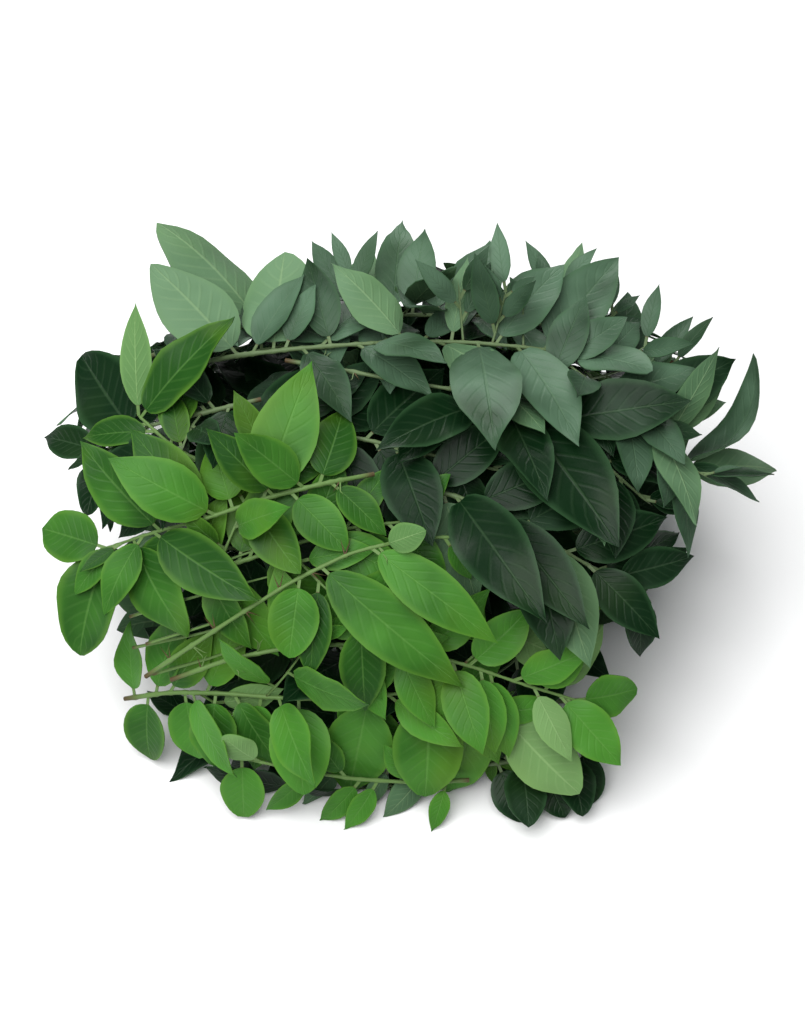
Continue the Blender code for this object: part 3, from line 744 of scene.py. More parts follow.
def tuft(heap, owner, stem, place, rng):
    """(distance, shoot, leaves) of one tuft."""
    x, heading, lift, length = place
    distance = stem.distance_at(x * MM)
    point, _, outward = stem.at(distance)
    along = turned(square_to(outward, Vector((1, 0, 0))), outward, heading)
    rise = leaning(along, outward, math.radians(lift)).normalized()
    facing = square_to(rise, outward)
    bowed = [point + (rise * s + facing * TUFT_BOW * s * s) * length * MM for s in (0, 0.5, 1)]
    shoot = Stem([(p, facing) for p in bowed], SHOOT_STEP, TUFT_GIRTH)
    leaves = []
    reached, side = TUFT_GAP, 1
    while reached < shoot.length:
        _, tangent, normal = shoot.at(reached)
        aim = off_stem(tangent, normal, side, math.radians(rng.uniform(*TUFT_SPREADS)))
        arch, fold = math.radians(rng.uniform(*TUFT_ARCHES)), math.radians(rng.uniform(*TUFT_FOLDS))
        shape = (arch, fold, 0.0, TUFT_WIDTH_SHARE, PLAIN_LEAF_ROWS)
        size = rng.uniform(*TUFT_LEAVES) * (1 - TUFT_SHORTER_AT_TIP * reached / shoot.length) * MM
        leaf = aimed_leaf(shoot, reached, aim, rng.uniform(*TUFT_LIFTS), 0, size, 1, shape)
        if is_clear(heap, leaf, owner):
            heap.add_leaf(leaf, owner)
            leaves.append(leaf)
        reached += TUFT_GAP * rng.uniform(*UNEVEN_SHOOTS)
        side = -side
    return distance, shoot, leaves + list(growing_tip(heap, owner, shoot, rng))


def single_leaf(heap, sprig, stem, place, rng):
    """(distance, leaf) of a leaf that stands out, or a distance and None where it has no room."""
    x, aim, length, width, face, *own = place
    distance = stem.distance_at(x * MM)
    plain = sprig._replace(rows=PLAIN_LEAF_ROWS)
    aim = Vector(aim).normalized()
    leaf = grow(heap, stem, plain, distance, aim, 0, length * MM, width / length, face, rng, *own)
    if leaf:
        heap.add_leaf(leaf, sprig.name)
    return distance, leaf


# On a bare stretch of stem, a pale forked stub stands at each joint where a leaf came off.
STUB_LENGTH = 5.5 * MM
STUB_STEP = 2.5 * MM
STUB_GIRTH = 0.42
STUB_EVERY = 15 * MM
STUB_LAST = 6 * MM
STUB_AHEAD = (0.3, 0.9)
STUB_RISING = (0.1, 0.7)
KNEE_SHARES = (0.7, 1.1)
PRONG_SHARES = (0.3, 0.6)
PRONG_BENDS = (-0.6, 0.8)


def stubs(sprig, stem, rng):
    """The stubs of a sprig's bare stretch: a short stalk and a side prong on each."""
    distance, side = STUB_EVERY, 1
    while distance < sprig.bare * MM - STUB_LAST:
        point, tangent, outward = stem.at(distance)
        ahead, rising = rng.uniform(*STUB_AHEAD), rng.uniform(*STUB_RISING)
        aim = (tangent * ahead + outward.cross(tangent) * side + outward * rising).normalized()
        knee = point + aim * STUB_LENGTH * rng.uniform(*KNEE_SHARES)
        for bend in PRONG_BENDS:
            end = knee + (aim + tangent * bend).normalized() * STUB_LENGTH * rng.uniform(*PRONG_SHARES)
            yield distance, Stem([(point, outward), (knee, outward), (end, outward)], STUB_STEP, STUB_GIRTH)
        distance += STUB_EVERY * rng.uniform(*UNEVEN_SHOOTS)
        side = -side


# The leaves between the laid ones lie close on each other, and few show their pale underside.
GROWTH_SEED = 300
CLOSER_JOINTS = 0.6
CLOSE_LEAF_GAP = -0.1 * MM
PALE_AMONG_EXTRA = 0.05
close_heap = Heap(CLOSE_LEAF_GAP)
for sprig, stem, grown in laid:
    close_heap.add(stem.solid(CLOSE_STEM_GAP), ("stem", sprig.name))
    for _, leaf in grown:
        close_heap.add_leaf(leaf, sprig.name)


def fully_grown(n, singles, tufts, thin_stems):
    """Sprig n as it really grows: its stems with their joints, its laid leaves and those between them."""
    sprig, stem, grown = laid[n]
    rng = random.Random(GROWTH_SEED + n)
    joints = [d for d, _ in grown]
    stems, extra = [(stem, joints)], []
    for distance, stub in stubs(sprig, stem, rng):
        joints.append(distance)
        stems.append((stub, []))
    for place in singles:
        distance, leaf = single_leaf(close_heap, sprig, stem, place, rng)
        if leaf:
            joints.append(distance)
            extra.append(leaf)
    stems += [(thin, []) for thin in thin_stems]
    for place in tufts:
        distance, shoot, own = tuft(close_heap, sprig.name, stem, place, rng)
        joints.append(distance)
        stems.append((shoot, []))
        extra += own
    closer = sprig._replace(gap=sprig.gap * CLOSER_JOINTS, rows=PLAIN_LEAF_ROWS)
    more = leaves_in_rows(close_heap, closer, stem, grown, rng, PALE_AMONG_EXTRA)
    joints += [d for d, _ in more]
    extra += [leaf for _, leaf in more] + list(growing_tip(close_heap, sprig.name, stem, rng))
    twig = sprig._replace(gap=SHOOT_GAP, leaf=SHOOT_LEAF, bare=SHOOT_BARE, rows=PLAIN_LEAF_ROWS)
    for distance, shoot in side_shoots(close_heap, sprig, stem, rng):
        joints.append(distance)
        own = leaves_in_rows(close_heap, twig, shoot, [], rng, PALE_AMONG_EXTRA)
        stems.append((shoot, [d for d, _ in own]))
        extra += [leaf for _, leaf in own] + list(growing_tip(close_heap, sprig.name, shoot, rng))
    return stems, [leaf for _, leaf in grown], extra


# A flat leaf with its stalk, thin as a sheet, is made once in its own measure and laid along each
# leaf's arch.
STATIONS = (-1, 0, 0.04, 0.12, 0.24, 0.38, 0.52, 0.66, 0.78, 0.88, 0.95, 1)
FINE_STATIONS = (-1, -0.4, 0, 0.02, 0.06, 0.13, 0.22, 0.32, 0.42, 0.52, 0.62, 0.72, 0.81, 0.89, 0.96, 1)
REAL_THICKNESS = 0.42 * MM
SHARP_EDGE = math.radians(50)
UNDERSIDE, STALK = 1, 2
FACING_DOWN = -0.5
# A narrow leaf's tip is drawn out, and a leaf wider than half its length is rounder.
TIP_DRAWN_OUT = 1.3
SHOULDER = 1.4
WIDEST = 0.508
ROUND_FROM = 0.5
ROUND_OVER = 0.2
# Its edge is wavy, later on one side than on the other, and the blade is cupped one way or the other.
WAVES = (1.2, 2.4)
WAVE_HEIGHTS = (0.02, 0.055)
WAVE_LAG = 1.3
CUPPING = (-0.10, 0.16)
LYING_FLAT = 0.999
# The stalk is painted as the middle of a stem, which has no brown.
STALK_PLACE = 0.5


def flat_leaf(name, stations, columns):
    """x is the place along the leaf, y across it from edge to edge, z through it."""
    bm = bmesh.new()
    bmesh.ops.create_grid(bm, x_segments=len(stations) - 1, y_segments=columns, size=1)
    for v in bm.verts:
        v.co.x = stations[round((v.co.x + 1) / 2 * (len(stations) - 1))]
    bmesh.ops.pointmerge(bm, verts=[v for v in bm.verts if v.co.x == 1], merge_co=(1, 0, 0))
    bmesh.ops.solidify(bm, geom=bm.faces[:], thickness=1)
    bmesh.ops.recalc_face_normals(bm, faces=bm.faces[:])
    middle = sum(v.co.z for v in bm.verts) / len(bm.verts)
    for v in bm.verts:
        v.co.z = math.copysign(0.5, v.co.z - middle)
    for face in bm.faces:
        face.smooth = True
        if face.calc_center_median().x < 0:
            face.material_index = STALK
        elif face.normal.z < FACING_DOWN:
            face.material_index = UNDERSIDE
    for edge in bm.edges:
        edge.smooth = edge.calc_face_angle(0) < SHARP_EDGE
    mesh = bpy.data.meshes.new(name)
    bm.to_mesh(mesh)
    bm.free()
    return mesh


leaf_pattern = flat_leaf("leaf_pattern", STATIONS, 2)
fine_leaf_pattern = flat_leaf("fine_leaf_pattern", FINE_STATIONS, 4)


def pointed(u):
    """A real leaf's half width at u along its blade, as a share of its greatest: its tip is drawn out."""
    return u**BASE_ROUNDNESS * (1 - u) ** TIP_DRAWN_OUT * (1 + SHOULDER * u) / WIDEST


def across_leaf(course, leaf, u):
    """(middle, forward, up, half width) of a leaf at u along it."""
    if u < 0:
        _, point, forward, up = course[0]
        return point.lerp(leaf.root, -u), forward, up, PETIOLE_HALF_WIDTH
    place = u * MIDRIB_STEPS
    near = min(int(place), MIDRIB_STEPS - 1)
    _, a, forward, up_a = course[near]
    _, b, forward_b, up_b = course[near + 1]
    share = place - near
    point = a.lerp(b, share)
    roundness = min(max((leaf.width / leaf.length - ROUND_FROM) / ROUND_OVER, 0), 1)
    half = (pointed(u) * (1 - roundness) + outline(u) * roundness) * leaf.width / 2
    half = max(PETIOLE_HALF_WIDTH * (1 - u), half)
    return point, forward.lerp(forward_b, share).normalized(), up_a.lerp(up_b, share).normalized(), half


def lay_blade(bm, pattern, leaf, rng, tint):
    """Adds a leaf to the sprig: the flat pattern carried along the leaf's arch, fold and twist."""
    before = len(bm.verts)
    bm.from_mesh(pattern)
    bm.verts.ensure_lookup_table()
    course = list(midrib(leaf))
    waves = rng.uniform(*WAVES)
    phase = rng.uniform(0, math.tau)
    height = leaf.width * rng.uniform(*WAVE_HEIGHTS)
    cupping = rng.uniform(*CUPPING)
    along, across, tinted = (bm.verts.layers.float[n] for n in ("along", "across", "tint"))
    stations = {}
    for vert in bm.verts[before:]:
        u, v, w = vert.co
        if u not in stations:
            stations[u] = across_leaf(course, leaf, u)
        middle, forward, up, half = stations[u]
        side = up.cross(forward)
        free = 0 if abs(up.z) > LYING_FLAT else 1
        roll = free * leaf.twist * max(u, 0)
        side, up = leaning(side, up, roll), leaning(up, -side, roll)
        fold = leaf.fold * free
        lag = WAVE_LAG if v < 0 else 0
        ripple = height * math.sin(math.tau * waves * u + phase + lag) * v * v * (u > 0)
        rise = half * (abs(v) * math.sin(fold) - cupping * free * v * v) + ripple * free
        point = middle + side * v * half * math.cos(fold) + up * (rise + w * REAL_THICKNESS)
        point.z = max(point.z, REAL_THICKNESS * (0.5 + w))
        vert.co = point
        vert[along], vert[across], vert[tinted] = u if u >= 0 else STALK_PLACE, v, tint


# A stem is round, with a swelling at each joint and a plain cut end.
STEM_ROUND = 8
STEM_FINENESS = 0.6
RING_STEP = 7 * MM
RING_DIGITS = 5
JOINT_SWELLING = 0.4
SWELLING_LENGTH = 1.7 * MM
SWELLING_RINGS = (-1.8 * MM, 0, 1.8 * MM)
CUT_END_CLEAR = 2 * MM
TIP_LENGTH = 2 * MM
CORNER = 6 * MM


def lay_stem(bm, stem, joints, rng):
    """Adds a stem to the sprig: a ring at its cut end, drawn out along its course to its tip."""
    places = {round(n * RING_STEP, RING_DIGITS) for n in range(int(stem.length / RING_STEP) + 1)}
    swellings = [joint + ring for joint in joints for ring in SWELLING_RINGS]
    places |= {round(place, RING_DIGITS) for place in swellings if CUT_END_CLEAR < place < stem.length}
    places = sorted(places)
    along, across, tinted = (bm.verts.layers.float[n] for n in ("along", "across", "tint"))
    first_face = len(bm.faces)
    ring = bmesh.ops.create_circle(bm, cap_ends=True, segments=STEM_ROUND, radius=1)["verts"]
    edges = ring[0].link_faces[0].edges[:]
    tint = rng.random()
    for n, place in enumerate(places):
        if n:
            drawn = bmesh.ops.extrude_edge_only(bm, edges=edges)["geom"]
            edges = [g for g in drawn if isinstance(g, bmesh.types.BMEdge)]
            fresh = {g for g in drawn if isinstance(g, bmesh.types.BMVert)}
            ring = [next(e.other_vert(v) for e in v.link_edges if e.other_vert(v) in fresh) for v in ring]
        point, tangent, outward = smooth_place(stem, place)
        side = tangent.cross(outward)
        nearest = min((abs(place - j) for j in joints), default=math.inf)
        swelling = JOINT_SWELLING * math.exp(-((nearest / SWELLING_LENGTH) ** 2))
        radius = STEM_FINENESS * stem.radius(place) * (1 + swelling)
        for k, vert in enumerate(ring):
            angle = math.tau * k / STEM_ROUND
            vert.co = point + leaning(outward, side, angle) * radius
            vert[along], vert[across], vert[tinted] = place / stem.length, 0, tint
    tip = bmesh.ops.extrude_edge_only(bm, edges=edges)["geom"]
    point, tangent, _ = stem.at(stem.length)
    tip = [g for g in tip if isinstance(g, bmesh.types.BMVert)]
    bmesh.ops.pointmerge(bm, verts=tip, merge_co=point + tangent * TIP_LENGTH)
    bm.faces.ensure_lookup_table()
    for face in bm.faces[first_face:]:
        face.material_index = STALK
        face.smooth = len(face.verts) < STEM_ROUND


def smooth_place(stem, place):
    """The stem's course with its corners rounded."""
    near = [stem.at(place + d) for d in (-CORNER, 0, CORNER)]
    point = (near[0][0] + near[1][0] * 2 + near[2][0]) / 4
    if place < CORNER or place > stem.length - CORNER:
        point = near[1][0]
    tangent = (near[0][1] + near[1][1] + near[2][1]).normalized()
    return point, tangent, square_to(tangent, near[1][2])


# The finishes are made of shader nodes. A grain is how many spots of it lie in a metre, and an edge
# is where something begins and where it is full.
SHEEN_GRAIN = 90.0
UNEVEN_SHEEN = 0.16
RELIEF_DEPTH = 0.4 * MM
SIDE_VEINS = 8.5
VEIN_SWEEP = 0.26
MIDRIB_EDGE = (0.012, 0.06)
SIDE_VEIN_EDGE = (0.02, 0.2)
VEINS_END_EDGE = (0.45, 0.95)
SIDE_VEIN_SHARE = 0.28
TONE_GRAIN = 38.0
TONE_SPREAD = 1.1
TONE_SHIFT = -0.58
PATCH_GRAIN = 22.0
PATCH_EDGE = (0.5, 0.72)
PATCH_SHARE = 0.5
RIM_EDGE = (0.72, 1.05)
RIM_SHARE = 0.45
PRESSED_MIDRIB = -0.9
PRESSED_VEIN = -0.5
SKIN_GRAIN = 260.0
SKIN_HEIGHT = 0.7
STREAK_GRAIN = 120.0
STREAK_SPREAD = 0.5
STREAK_SHIFT = -0.2
STREAK_REACH = 0.1
CUT_END_EDGE = (0.0, 0.07)
FIBRE_GRAIN = 400.0
FINE_DETAIL = 3.0
CUT_BROWN = (0.07, 0.045, 0.02, 1)
# Where a mix node takes its share and its two colours, and where it gives the result.
MIX_INPUTS = ("Factor", 6, 7)
MIX_OUTPUT = 2


def attribute(tree, name):
    node = tree.nodes.new("ShaderNodeAttribute")
    node.attribute_name = name
    return node.outputs["Fac"]


def reckon(tree, operation, *values):
    node = tree.nodes.new("ShaderNodeMath")
    node.operation = operation
    for socket, value in zip(node.inputs, values):
        if isinstance(value, (int, float)):
            socket.default_value = value
        else:
            tree.links.new(value, socket)
    return node.outputs[0]


def eased(tree, value, low, high):
    node = tree.nodes.new("ShaderNodeMapRange")
    node.interpolation_type = "SMOOTHSTEP"
    tree.links.new(value, node.inputs["Value"])
    node.inputs["From Min"].default_value = low
    node.inputs["From Max"].default_value = high
    return node.outputs["Result"]


def blended(tree, share, first, second):
    node = tree.nodes.new("ShaderNodeMix")
    node.data_type = "RGBA"
    for name, value in zip(MIX_INPUTS, (share, first, second)):
        if isinstance(value, (float, tuple)):
            node.inputs[name].default_value = value
        else:
            tree.links.new(value, node.inputs[name])
    return node.outputs[MIX_OUTPUT]


def mottle(tree, scale, detail=2.0):
    place = tree.nodes.new("ShaderNodeTexCoord")
    node = tree.nodes.new("ShaderNodeTexNoise")
    node.inputs["Scale"].default_value = scale
    node.inputs["Detail"].default_value = detail
    tree.links.new(place.outputs["Object"], node.inputs["Vector"])
    return node.outputs["Fac"]


def finished(name, colour_of, height_of, roughness, relief, shine):
    """A material from a function for its colour and one for its relief."""
    material = bpy.data.materials.new(name)
    material.use_nodes = True
    tree = material.node_tree
    shader = tree.nodes["Principled BSDF"]
    tree.links.new(colour_of(tree), shader.inputs["Base Color"])
    dullest = roughness - UNEVEN_SHEEN / 2
    sheen = reckon(tree, "MULTIPLY_ADD", mottle(tree, SHEEN_GRAIN), UNEVEN_SHEEN, dullest)
    tree.links.new(sheen, shader.inputs["Roughness"])
    shader.inputs["Specular IOR Level"].default_value = shine
    bump = tree.nodes.new("ShaderNodeBump")
    bump.inputs["Strength"].default_value = relief
    bump.inputs["Distance"].default_value = RELIEF_DEPTH
    tree.links.new(height_of(tree), bump.inputs["Height"])
    tree.links.new(bump.outputs["Normal"], shader.inputs["Normal"])
    return material


def veins(tree):
    """(midrib, side veins), each 1 on the vein and 0 off it."""
    along, across = attribute(tree, "along"), reckon(tree, "ABSOLUTE", attribute(tree, "across"))
    midrib_line = reckon(tree, "SUBTRACT", 1.0, eased(tree, across, *MIDRIB_EDGE))
    swept = reckon(tree, "SUBTRACT", along, reckon(tree, "MULTIPLY", across, VEIN_SWEEP))
    place = reckon(tree, "FRACT", reckon(tree, "MULTIPLY", swept, SIDE_VEINS))
    nearness = reckon(tree, "ABSOLUTE", reckon(tree, "SUBTRACT", place, 0.5))
    side_line = reckon(tree, "SUBTRACT", 1.0, eased(tree, nearness, *SIDE_VEIN_EDGE))
    fading = reckon(tree, "SUBTRACT", 1.0, eased(tree, across, *VEINS_END_EDGE))
    return midrib_line, reckon(tree, "MULTIPLY", side_line, fading)


def leaf_finish(name, deep, light, warm, edge, vein, roughness, vein_share, relief, shine):
    """Deep and light are the blade's greens, warm the patches where it yellows."""
    def colour(tree):
        spread = reckon(tree, "MULTIPLY_ADD", mottle(tree, TONE_GRAIN), TONE_SPREAD, TONE_SHIFT)
        share = reckon(tree, "ADD", attribute(tree, "tint"), spread)
        blade = blended(tree, eased(tree, share, 0.0, 1.0), deep, light)
        patches = eased(tree, mottle(tree, PATCH_GRAIN), *PATCH_EDGE)
        blade = blended(tree, reckon(tree, "MULTIPLY", patches, PATCH_SHARE), blade, warm)
        rim = eased(tree, reckon(tree, "ABSOLUTE", attribute(tree, "across")), *RIM_EDGE)
        blade = blended(tree, reckon(tree, "MULTIPLY", rim, RIM_SHARE), blade, edge)
        midrib_line, side_line = veins(tree)
        side_share = vein_share * SIDE_VEIN_SHARE
        blade = blended(tree, reckon(tree, "MULTIPLY", side_line, side_share), blade, vein)
        return blended(tree, reckon(tree, "MULTIPLY", midrib_line, vein_share), blade, vein)

    def height(tree):
        midrib_line, side_line = veins(tree)
        pressed = reckon(tree, "MULTIPLY", midrib_line, PRESSED_MIDRIB)
        pressed = reckon(tree, "MULTIPLY_ADD", side_line, PRESSED_VEIN, pressed)
        return reckon(tree, "MULTIPLY_ADD", mottle(tree, SKIN_GRAIN, FINE_DETAIL), SKIN_HEIGHT, pressed)

    return finished(name, colour, height, roughness, relief, shine)


def stem_finish(name, fresh):
    """A green stem that is brown at its cut end."""
    def colour(tree):
        streaks = reckon(tree, "MULTIPLY_ADD", mottle(tree, STREAK_GRAIN), STREAK_SPREAD, STREAK_SHIFT)
        place = reckon(tree, "MULTIPLY_ADD", streaks, STREAK_REACH, attribute(tree, "along"))
        return blended(tree, eased(tree, place, *CUT_END_EDGE), CUT_BROWN, fresh)

    def height(tree):
        return mottle(tree, FIBRE_GRAIN, FINE_DETAIL)

    return finished(name, colour, height, roughness=0.5, relief=0.3, shine=0.2)


# A mature leaf is deep green and satin above, with paler veins, and pale and dull beneath. Its light
# grey-green is also a painted sheen on the leaves over the crest and ridge, whose tints reach it most.
mature_finishes = (
    leaf_finish("mature_upper_side", deep=(0.0025, 0.0155, 0.004, 1), light=(0.085, 0.155, 0.095, 1),
                warm=(0.012, 0.034, 0.008, 1), edge=(0.035, 0.09, 0.035, 1), vein=(0.08, 0.15, 0.07, 1),
                roughness=0.36, vein_share=0.17, relief=0.45, shine=0.11),
    leaf_finish("mature_underside", deep=(0.055, 0.12, 0.055, 1), light=(0.105, 0.195, 0.1, 1),
                warm=(0.09, 0.18, 0.07, 1), edge=(0.1, 0.19, 0.08, 1), vein=(0.17, 0.27, 0.13, 1),
                roughness=0.62, vein_share=0.5, relief=0.5, shine=0.2),
    stem_finish("mature_stem", fresh=(0.10, 0.15, 0.065, 1)),
)


MESH_SEED = 200


def leafy_piece(sprig, tints, finishes, singles=(), tufts=(), thin_stems=(), upper_sides_out=False):
    """A whole sprig as one mesh. Its leaves' tints run from 0 for a deep green one to 1 for a light one."""
    n = order[sprig.name]
    stems, leaves, extra = fully_grown(n, singles, tufts, thin_stems)
    if upper_sides_out:
        leaves = with_upper_sides_out(leaves, len(sprig.posed))
    rng = random.Random(MESH_SEED + n)
    bm = bmesh.new()
    for layer in ("along", "across", "tint"):
        bm.verts.layers.float.new(layer)
    for stem, joints in stems:
        lay_stem(bm, stem, joints, rng)
    pattern = fine_leaf_pattern if sprig.posed else leaf_pattern
    for leaf in leaves:
        lay_blade(bm, pattern, leaf, rng, rng.uniform(*tints))
    for leaf in extra:
        lay_blade(bm, leaf_pattern, leaf, rng, rng.uniform(*tints))
    bmesh.ops.recalc_face_normals(bm, faces=bm.faces[:])
    bmesh.ops.translate(bm, verts=bm.verts[:], vec=TO_MIDDLE)
    mesh = bpy.data.meshes.new(sprig.name + "_leafy")
    bm.to_mesh(mesh)
    bm.free()
    for material in finishes:
        mesh.materials.append(material)
    piece = bpy.data.objects.new(sprig.name + "_leafy", mesh)
    bpy.context.scene.collection.objects.link(piece)
    return piece


DEEP_GREENS = (-0.15, 0.15)
# Some sprigs have their own range of tints: the left sprig's leaves are darker, the heart's and the right's
# lighter, and those of the crest and ridge, on top of the heap where the light rakes, lighter still, which
# is a painted sheen.
GREENS_AND_PAINTED_SHEEN = {
    "dark_sprig_heart": (0.0, 0.35),
    "dark_sprig_left": (-0.4, -0.2),
    "dark_sprig_right": (0.1, 0.5),
    "dark_sprig_ridge": (0.32, 0.8),
    "dark_sprig_crest": (0.45, 0.95),
}
# The tufts break the heap's skyline and come out at its right end. Each is (x of its joint,
# heading, lift, length), in mm and degrees.
TUFTS = {
    "dark_sprig_crest": ((-24, 75, 40, 18), (64, 80, 40, 20), (84, 60, 34, 18)),
    "dark_sprig_ridge": (
        (26, 100, 44, 24), (38, 70, 52, 26), (52, 95, 40, 20), (92, 30, 40, 20), (104, 10, 34, 20),
    ),
    "dark_sprig_right": ((108, 50, 40, 20), (116, -60, 30, 20)),
}
# Single leaves stand out at the right end and close the gap behind the ridge. Each is (x of its
# joint, the way it points, length, width, face), and for some their arch and roll.
SINGLES = {
    "dark_sprig_right": ((112, (20, 17, 30), 42, 14, -1), (117, (30, 14, 27), 46, 13, -1)),
    "dark_sprig_left": ((-70, (-10, -36, -8), 42, 24, 1), (-84, (16, 30, 4), 40, 22, 1)),
    "dark_sprig_heart": (
        (-62, (4, 34, -2), 44, 26, 1), (-50, (-8, 34, -2), 44, 26, 1), (-36, (4, 34, -4), 42, 24, 1),
    ),
    "dark_sprig_crest": (
        (4, (4, 30, 24), 36, 18, 1), (14, (-8, 30, 22), 34, 17, 1), (-12, (8, -40, 4), 44, 24, 1),
        (10, (-6, -40, 2), 46, 25, 1), (-36, (10, -38, 6), 40, 22, 1),
    ),
}

for sprig in MATURE_SPRIGS:
    tints = GREENS_AND_PAINTED_SHEEN.get(sprig.name, DEEP_GREENS)
    singles = SINGLES.get(sprig.name, ())
    piece = leafy_piece(sprig, tints, mature_finishes, singles, TUFTS.get(sprig.name, ()))
    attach(piece, "root")
    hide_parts(sprig.name)

# The young sprigs. Fresh shoots with light green, rounder and duller leaves lie over the front and
# the left, and their thin stems come out at the left with plain cut ends. Nearly all their leaves
# show the upper side.
young_finishes = (
    leaf_finish("young_upper_side", deep=(0.009, 0.052, 0.004, 1), light=(0.052, 0.19, 0.02, 1),
                warm=(0.07, 0.155, 0.008, 1), edge=(0.10, 0.23, 0.025, 1), vein=(0.12, 0.27, 0.06, 1),
                roughness=0.46, vein_share=0.26, relief=0.45, shine=0.14),
    leaf_finish("young_underside", deep=(0.07, 0.165, 0.045, 1), light=(0.13, 0.25, 0.08, 1),
                warm=(0.14, 0.25, 0.07, 1), edge=(0.15, 0.28, 0.08, 1), vein=(0.22, 0.36, 0.14, 1),
                roughness=0.62, vein_share=0.5, relief=0.5, shine=0.2),
    stem_finish("young_stem", fresh=(0.10, 0.18, 0.05, 1)),
)
FRESH_GREENS = (0.0, 0.75)
LIGHTER_GREENS = {
    "young_sprig_low": (0.55, 1.0),
    "young_sprig_base": (0.3, 1.0),
    "young_sprig_foot": (0.3, 1.0),
}
# Thin bare stems whose cut ends come out at the left with those of the young sprigs.
THIN_GIRTH = 0.75
THIN_ROUTES = (
    ((-119, 37, 5), (-88, 42, 6), (-52, 46, 11)),
    ((-113, 31, 7), (-84, 36, 9), (-50, 41, 13)),
    ((-106, 42, 5), (-80, 48, 8), (-46, 53, 13)),
    ((-111, 24, 8), (-82, 29, 11), (-50, 35, 14)),
    ((-121, 29, 9), (-92, 33, 12), (-56, 38, 16)),
)
thin_stems = [Stem([under_skin(p) for p in route], STEM_STEP, THIN_GIRTH) for route in THIN_ROUTES]


def with_upper_sides_out(leaves, first):
    """The same blades, from the first one on, with the upper side out."""
    turned_over = [leaf._replace(up=-leaf.up, bend=-leaf.bend, fold=-leaf.fold) for leaf in leaves]
    outside = [over if leaf.bend < 0 else leaf for leaf, over in zip(leaves, turned_over)]
    return leaves[:first] + outside[first:]


for sprig in YOUNG_SPRIGS:
    tints = LIGHTER_GREENS.get(sprig.name, FRESH_GREENS)
    thin = thin_stems if sprig.name == "young_sprig_under" else ()
    piece = leafy_piece(sprig, tints, young_finishes, thin_stems=thin, upper_sides_out=True)
    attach(piece, "root")
    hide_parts(sprig.name)

# The mature sprig at the foot. A dark shoot with short leaves lies along the front foot of the heap,
# under the young ones, and a few single leaves hang from it down to the table. Its deep green along
# the heap's lower edge is partly the leaves' own and partly painted shade.
FOOT_SINGLES = (
    (72, (6, -28, -8), 26, 18, 1), (52, (2, -30, -8), 28, 19, 1), (30, (-2, -30, -8), 28, 19, 1),
    (8, (-2, -30, -8), 26, 18, 1), (-14, (2, -30, -8), 26, 18, 1),
)
piece = leafy_piece(FOOT_SPRIG, DEEP_GREENS, mature_finishes, FOOT_SINGLES)
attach(piece, "root")
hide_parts(FOOT_SPRIG.name)

# The sprigs over the back, from the crest down to the foot. They are mature like those on top, apart
# from one young sprig among them, and lie lengthways with their tips to the left and right in turn.
BACK_SINGLES = {"back_sprig_1": ((-62, (0, -22, -31), 42, 28, 1), (-50, (0, -22, -31), 40, 26, 1))}
for sprig in back_sprigs():
    young = sprig.tone == "young"
    tints = FRESH_GREENS if young else DEEP_GREENS
    finishes = young_finishes if young else mature_finishes
    piece = leafy_piece(sprig, tints, finishes, BACK_SINGLES.get(sprig.name, ()), upper_sides_out=young)
    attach(piece, "root")
    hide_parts(sprig.name)

# The sprigs inside the heap and flat on the table, which carry the rest. They are mature too, and
# show in the shade between the others and at the heap's two ends, where single leaves close it.
END_LEAVES_OVER = (
    (94, (5, 9, -4), 52, 28, 1, 16, 65), (88, (5, -9, -4), 50, 27, 1, 16, -65),
    (80, (8, 2, -3), 50, 27, 1, 16, 30), (-96, (-5, 9, -4), 52, 28, 1, 16, -65),
    (-90, (-5, -9, -4), 50, 27, 1, 16, 65), (-82, (-8, 2, -3), 50, 27, 1, 16, 30),
)
INNER_SINGLES = {
    "inner_sprig_2": (
        (92, (5, 3, 8), 46, 26, -1), (82, (5, -4, 8), 46, 26, -1),
        (-108, (-5, 3, 8), 46, 26, -1), (-96, (-5, -4, 8), 46, 26, -1),
    ),
    "inner_sprig_3": (
        (104, (5, 3, 8), 46, 26, -1), (92, (5, -4, 8), 46, 26, -1),
        (-108, (-5, 3, 8), 46, 26, -1), (-96, (-5, -4, 8), 46, 26, -1),
    ),
    "inner_sprig_6": END_LEAVES_OVER,
    "inner_sprig_7": END_LEAVES_OVER,
    "inner_sprig_9": (
        (-58, (0, 50, 8), 54, 30, 1), (-72, (-14, 46, 6), 52, 28, 1), (-80, (-30, 30, 8), 48, 26, 1),
        (-46, (6, 50, 16), 54, 30, 1),
    ),
}
for sprig in core_sprigs():
    piece = leafy_piece(sprig, DEEP_GREENS, mature_finishes, INNER_SINGLES.get(sprig.name, ()))
    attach(piece, "root")
    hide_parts(sprig.name)

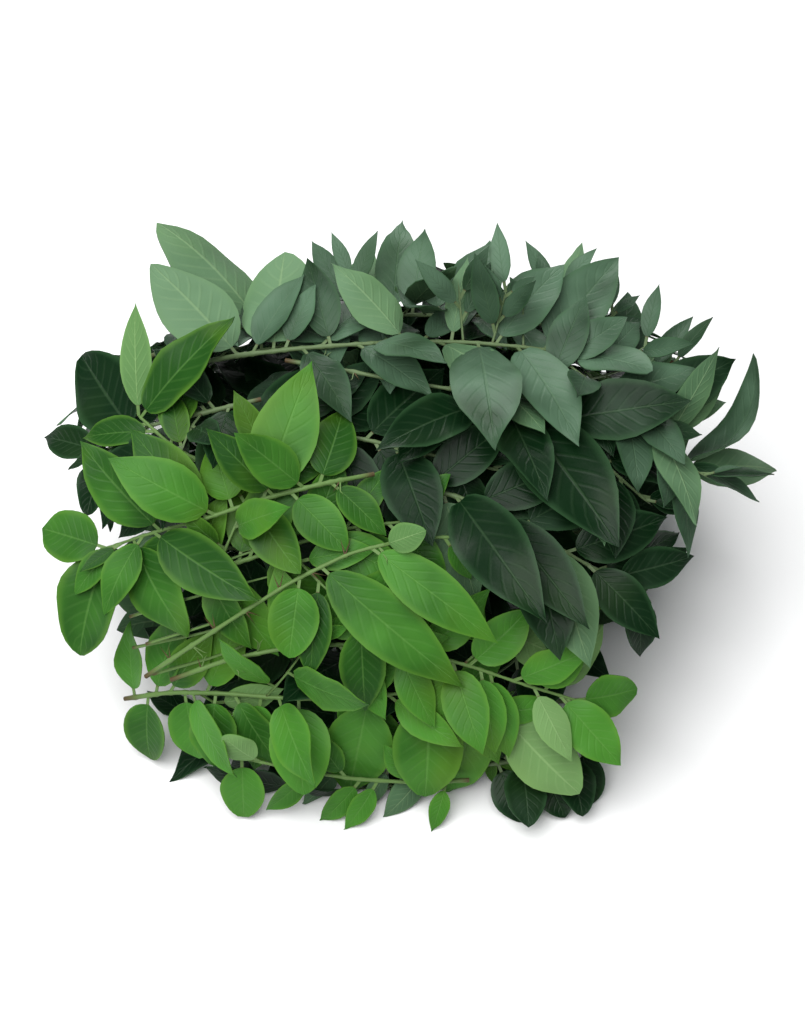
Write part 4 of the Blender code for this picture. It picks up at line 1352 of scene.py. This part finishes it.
# The room. The heap lies on a plain pale floor, in broad soft daylight from the upper left, and the
# camera looks down on its front.
FLOOR_SIZE = 6.0
FLOOR_GREY = (0.86, 0.86, 0.86, 1)
SKY = (0.95, 0.98, 1.0, 1)
SKY_STRENGTH = 0.27
CAMERA_RISE = math.radians(50)
CAMERA_AWAY = 1.12
LOOKED_AT = (0, -0.004, 0.044)
LENS = 85
SENSOR_WIDTH = 36

bm = bmesh.new()
bmesh.ops.create_grid(bm, x_segments=1, y_segments=1, size=FLOOR_SIZE / 2)
mesh = bpy.data.meshes.new("floor")
bm.to_mesh(mesh)
bm.free()
floor = bpy.data.objects.new("floor", mesh)
bpy.context.scene.collection.objects.link(floor)
pale = bpy.data.materials.new("pale_floor")
pale.use_nodes = True
shader = pale.node_tree.nodes["Principled BSDF"]
shader.inputs["Base Color"].default_value = FLOOR_GREY
shader.inputs["Roughness"].default_value = 0.7
mesh.materials.append(pale)

world = bpy.data.worlds.new("soft_daylight")
bpy.context.scene.world = world
world.use_nodes = True
background = world.node_tree.nodes["Background"]
background.inputs["Color"].default_value = SKY
background.inputs["Strength"].default_value = SKY_STRENGTH


def soft_light(name, place, aim, side, watts):
    lamp = bpy.data.lights.new(name, "AREA")
    lamp.shape = "SQUARE"
    lamp.size = side
    lamp.energy = watts
    lamp_object = bpy.data.objects.new(name, lamp)
    lamp_object.location = place
    lamp_object.rotation_euler = (Vector(aim) - Vector(place)).to_track_quat("-Z", "Y").to_euler()
    bpy.context.scene.collection.objects.link(lamp_object)


soft_light("overhead", place=(-0.45, -0.5, 1.4), aim=(0, 0, 0.05), side=1.5, watts=39)
soft_light("rear_window", place=(-0.2, 1.5, 1.35), aim=(0, 0, 0.1), side=0.9, watts=19)

aim = Vector(LOOKED_AT) + TO_MIDDLE
back = Vector((0, -math.cos(CAMERA_RISE), math.sin(CAMERA_RISE)))
camera = bpy.data.objects.new("camera", bpy.data.cameras.new("camera"))
bpy.context.scene.collection.objects.link(camera)
camera.data.lens = LENS
camera.data.sensor_width = SENSOR_WIDTH
camera.location = aim + back * CAMERA_AWAY
camera.rotation_euler = (-back).to_track_quat("-Z", "Y").to_euler()
bpy.context.scene.camera = camera
bpy.context.scene.view_settings.view_transform = "Standard"
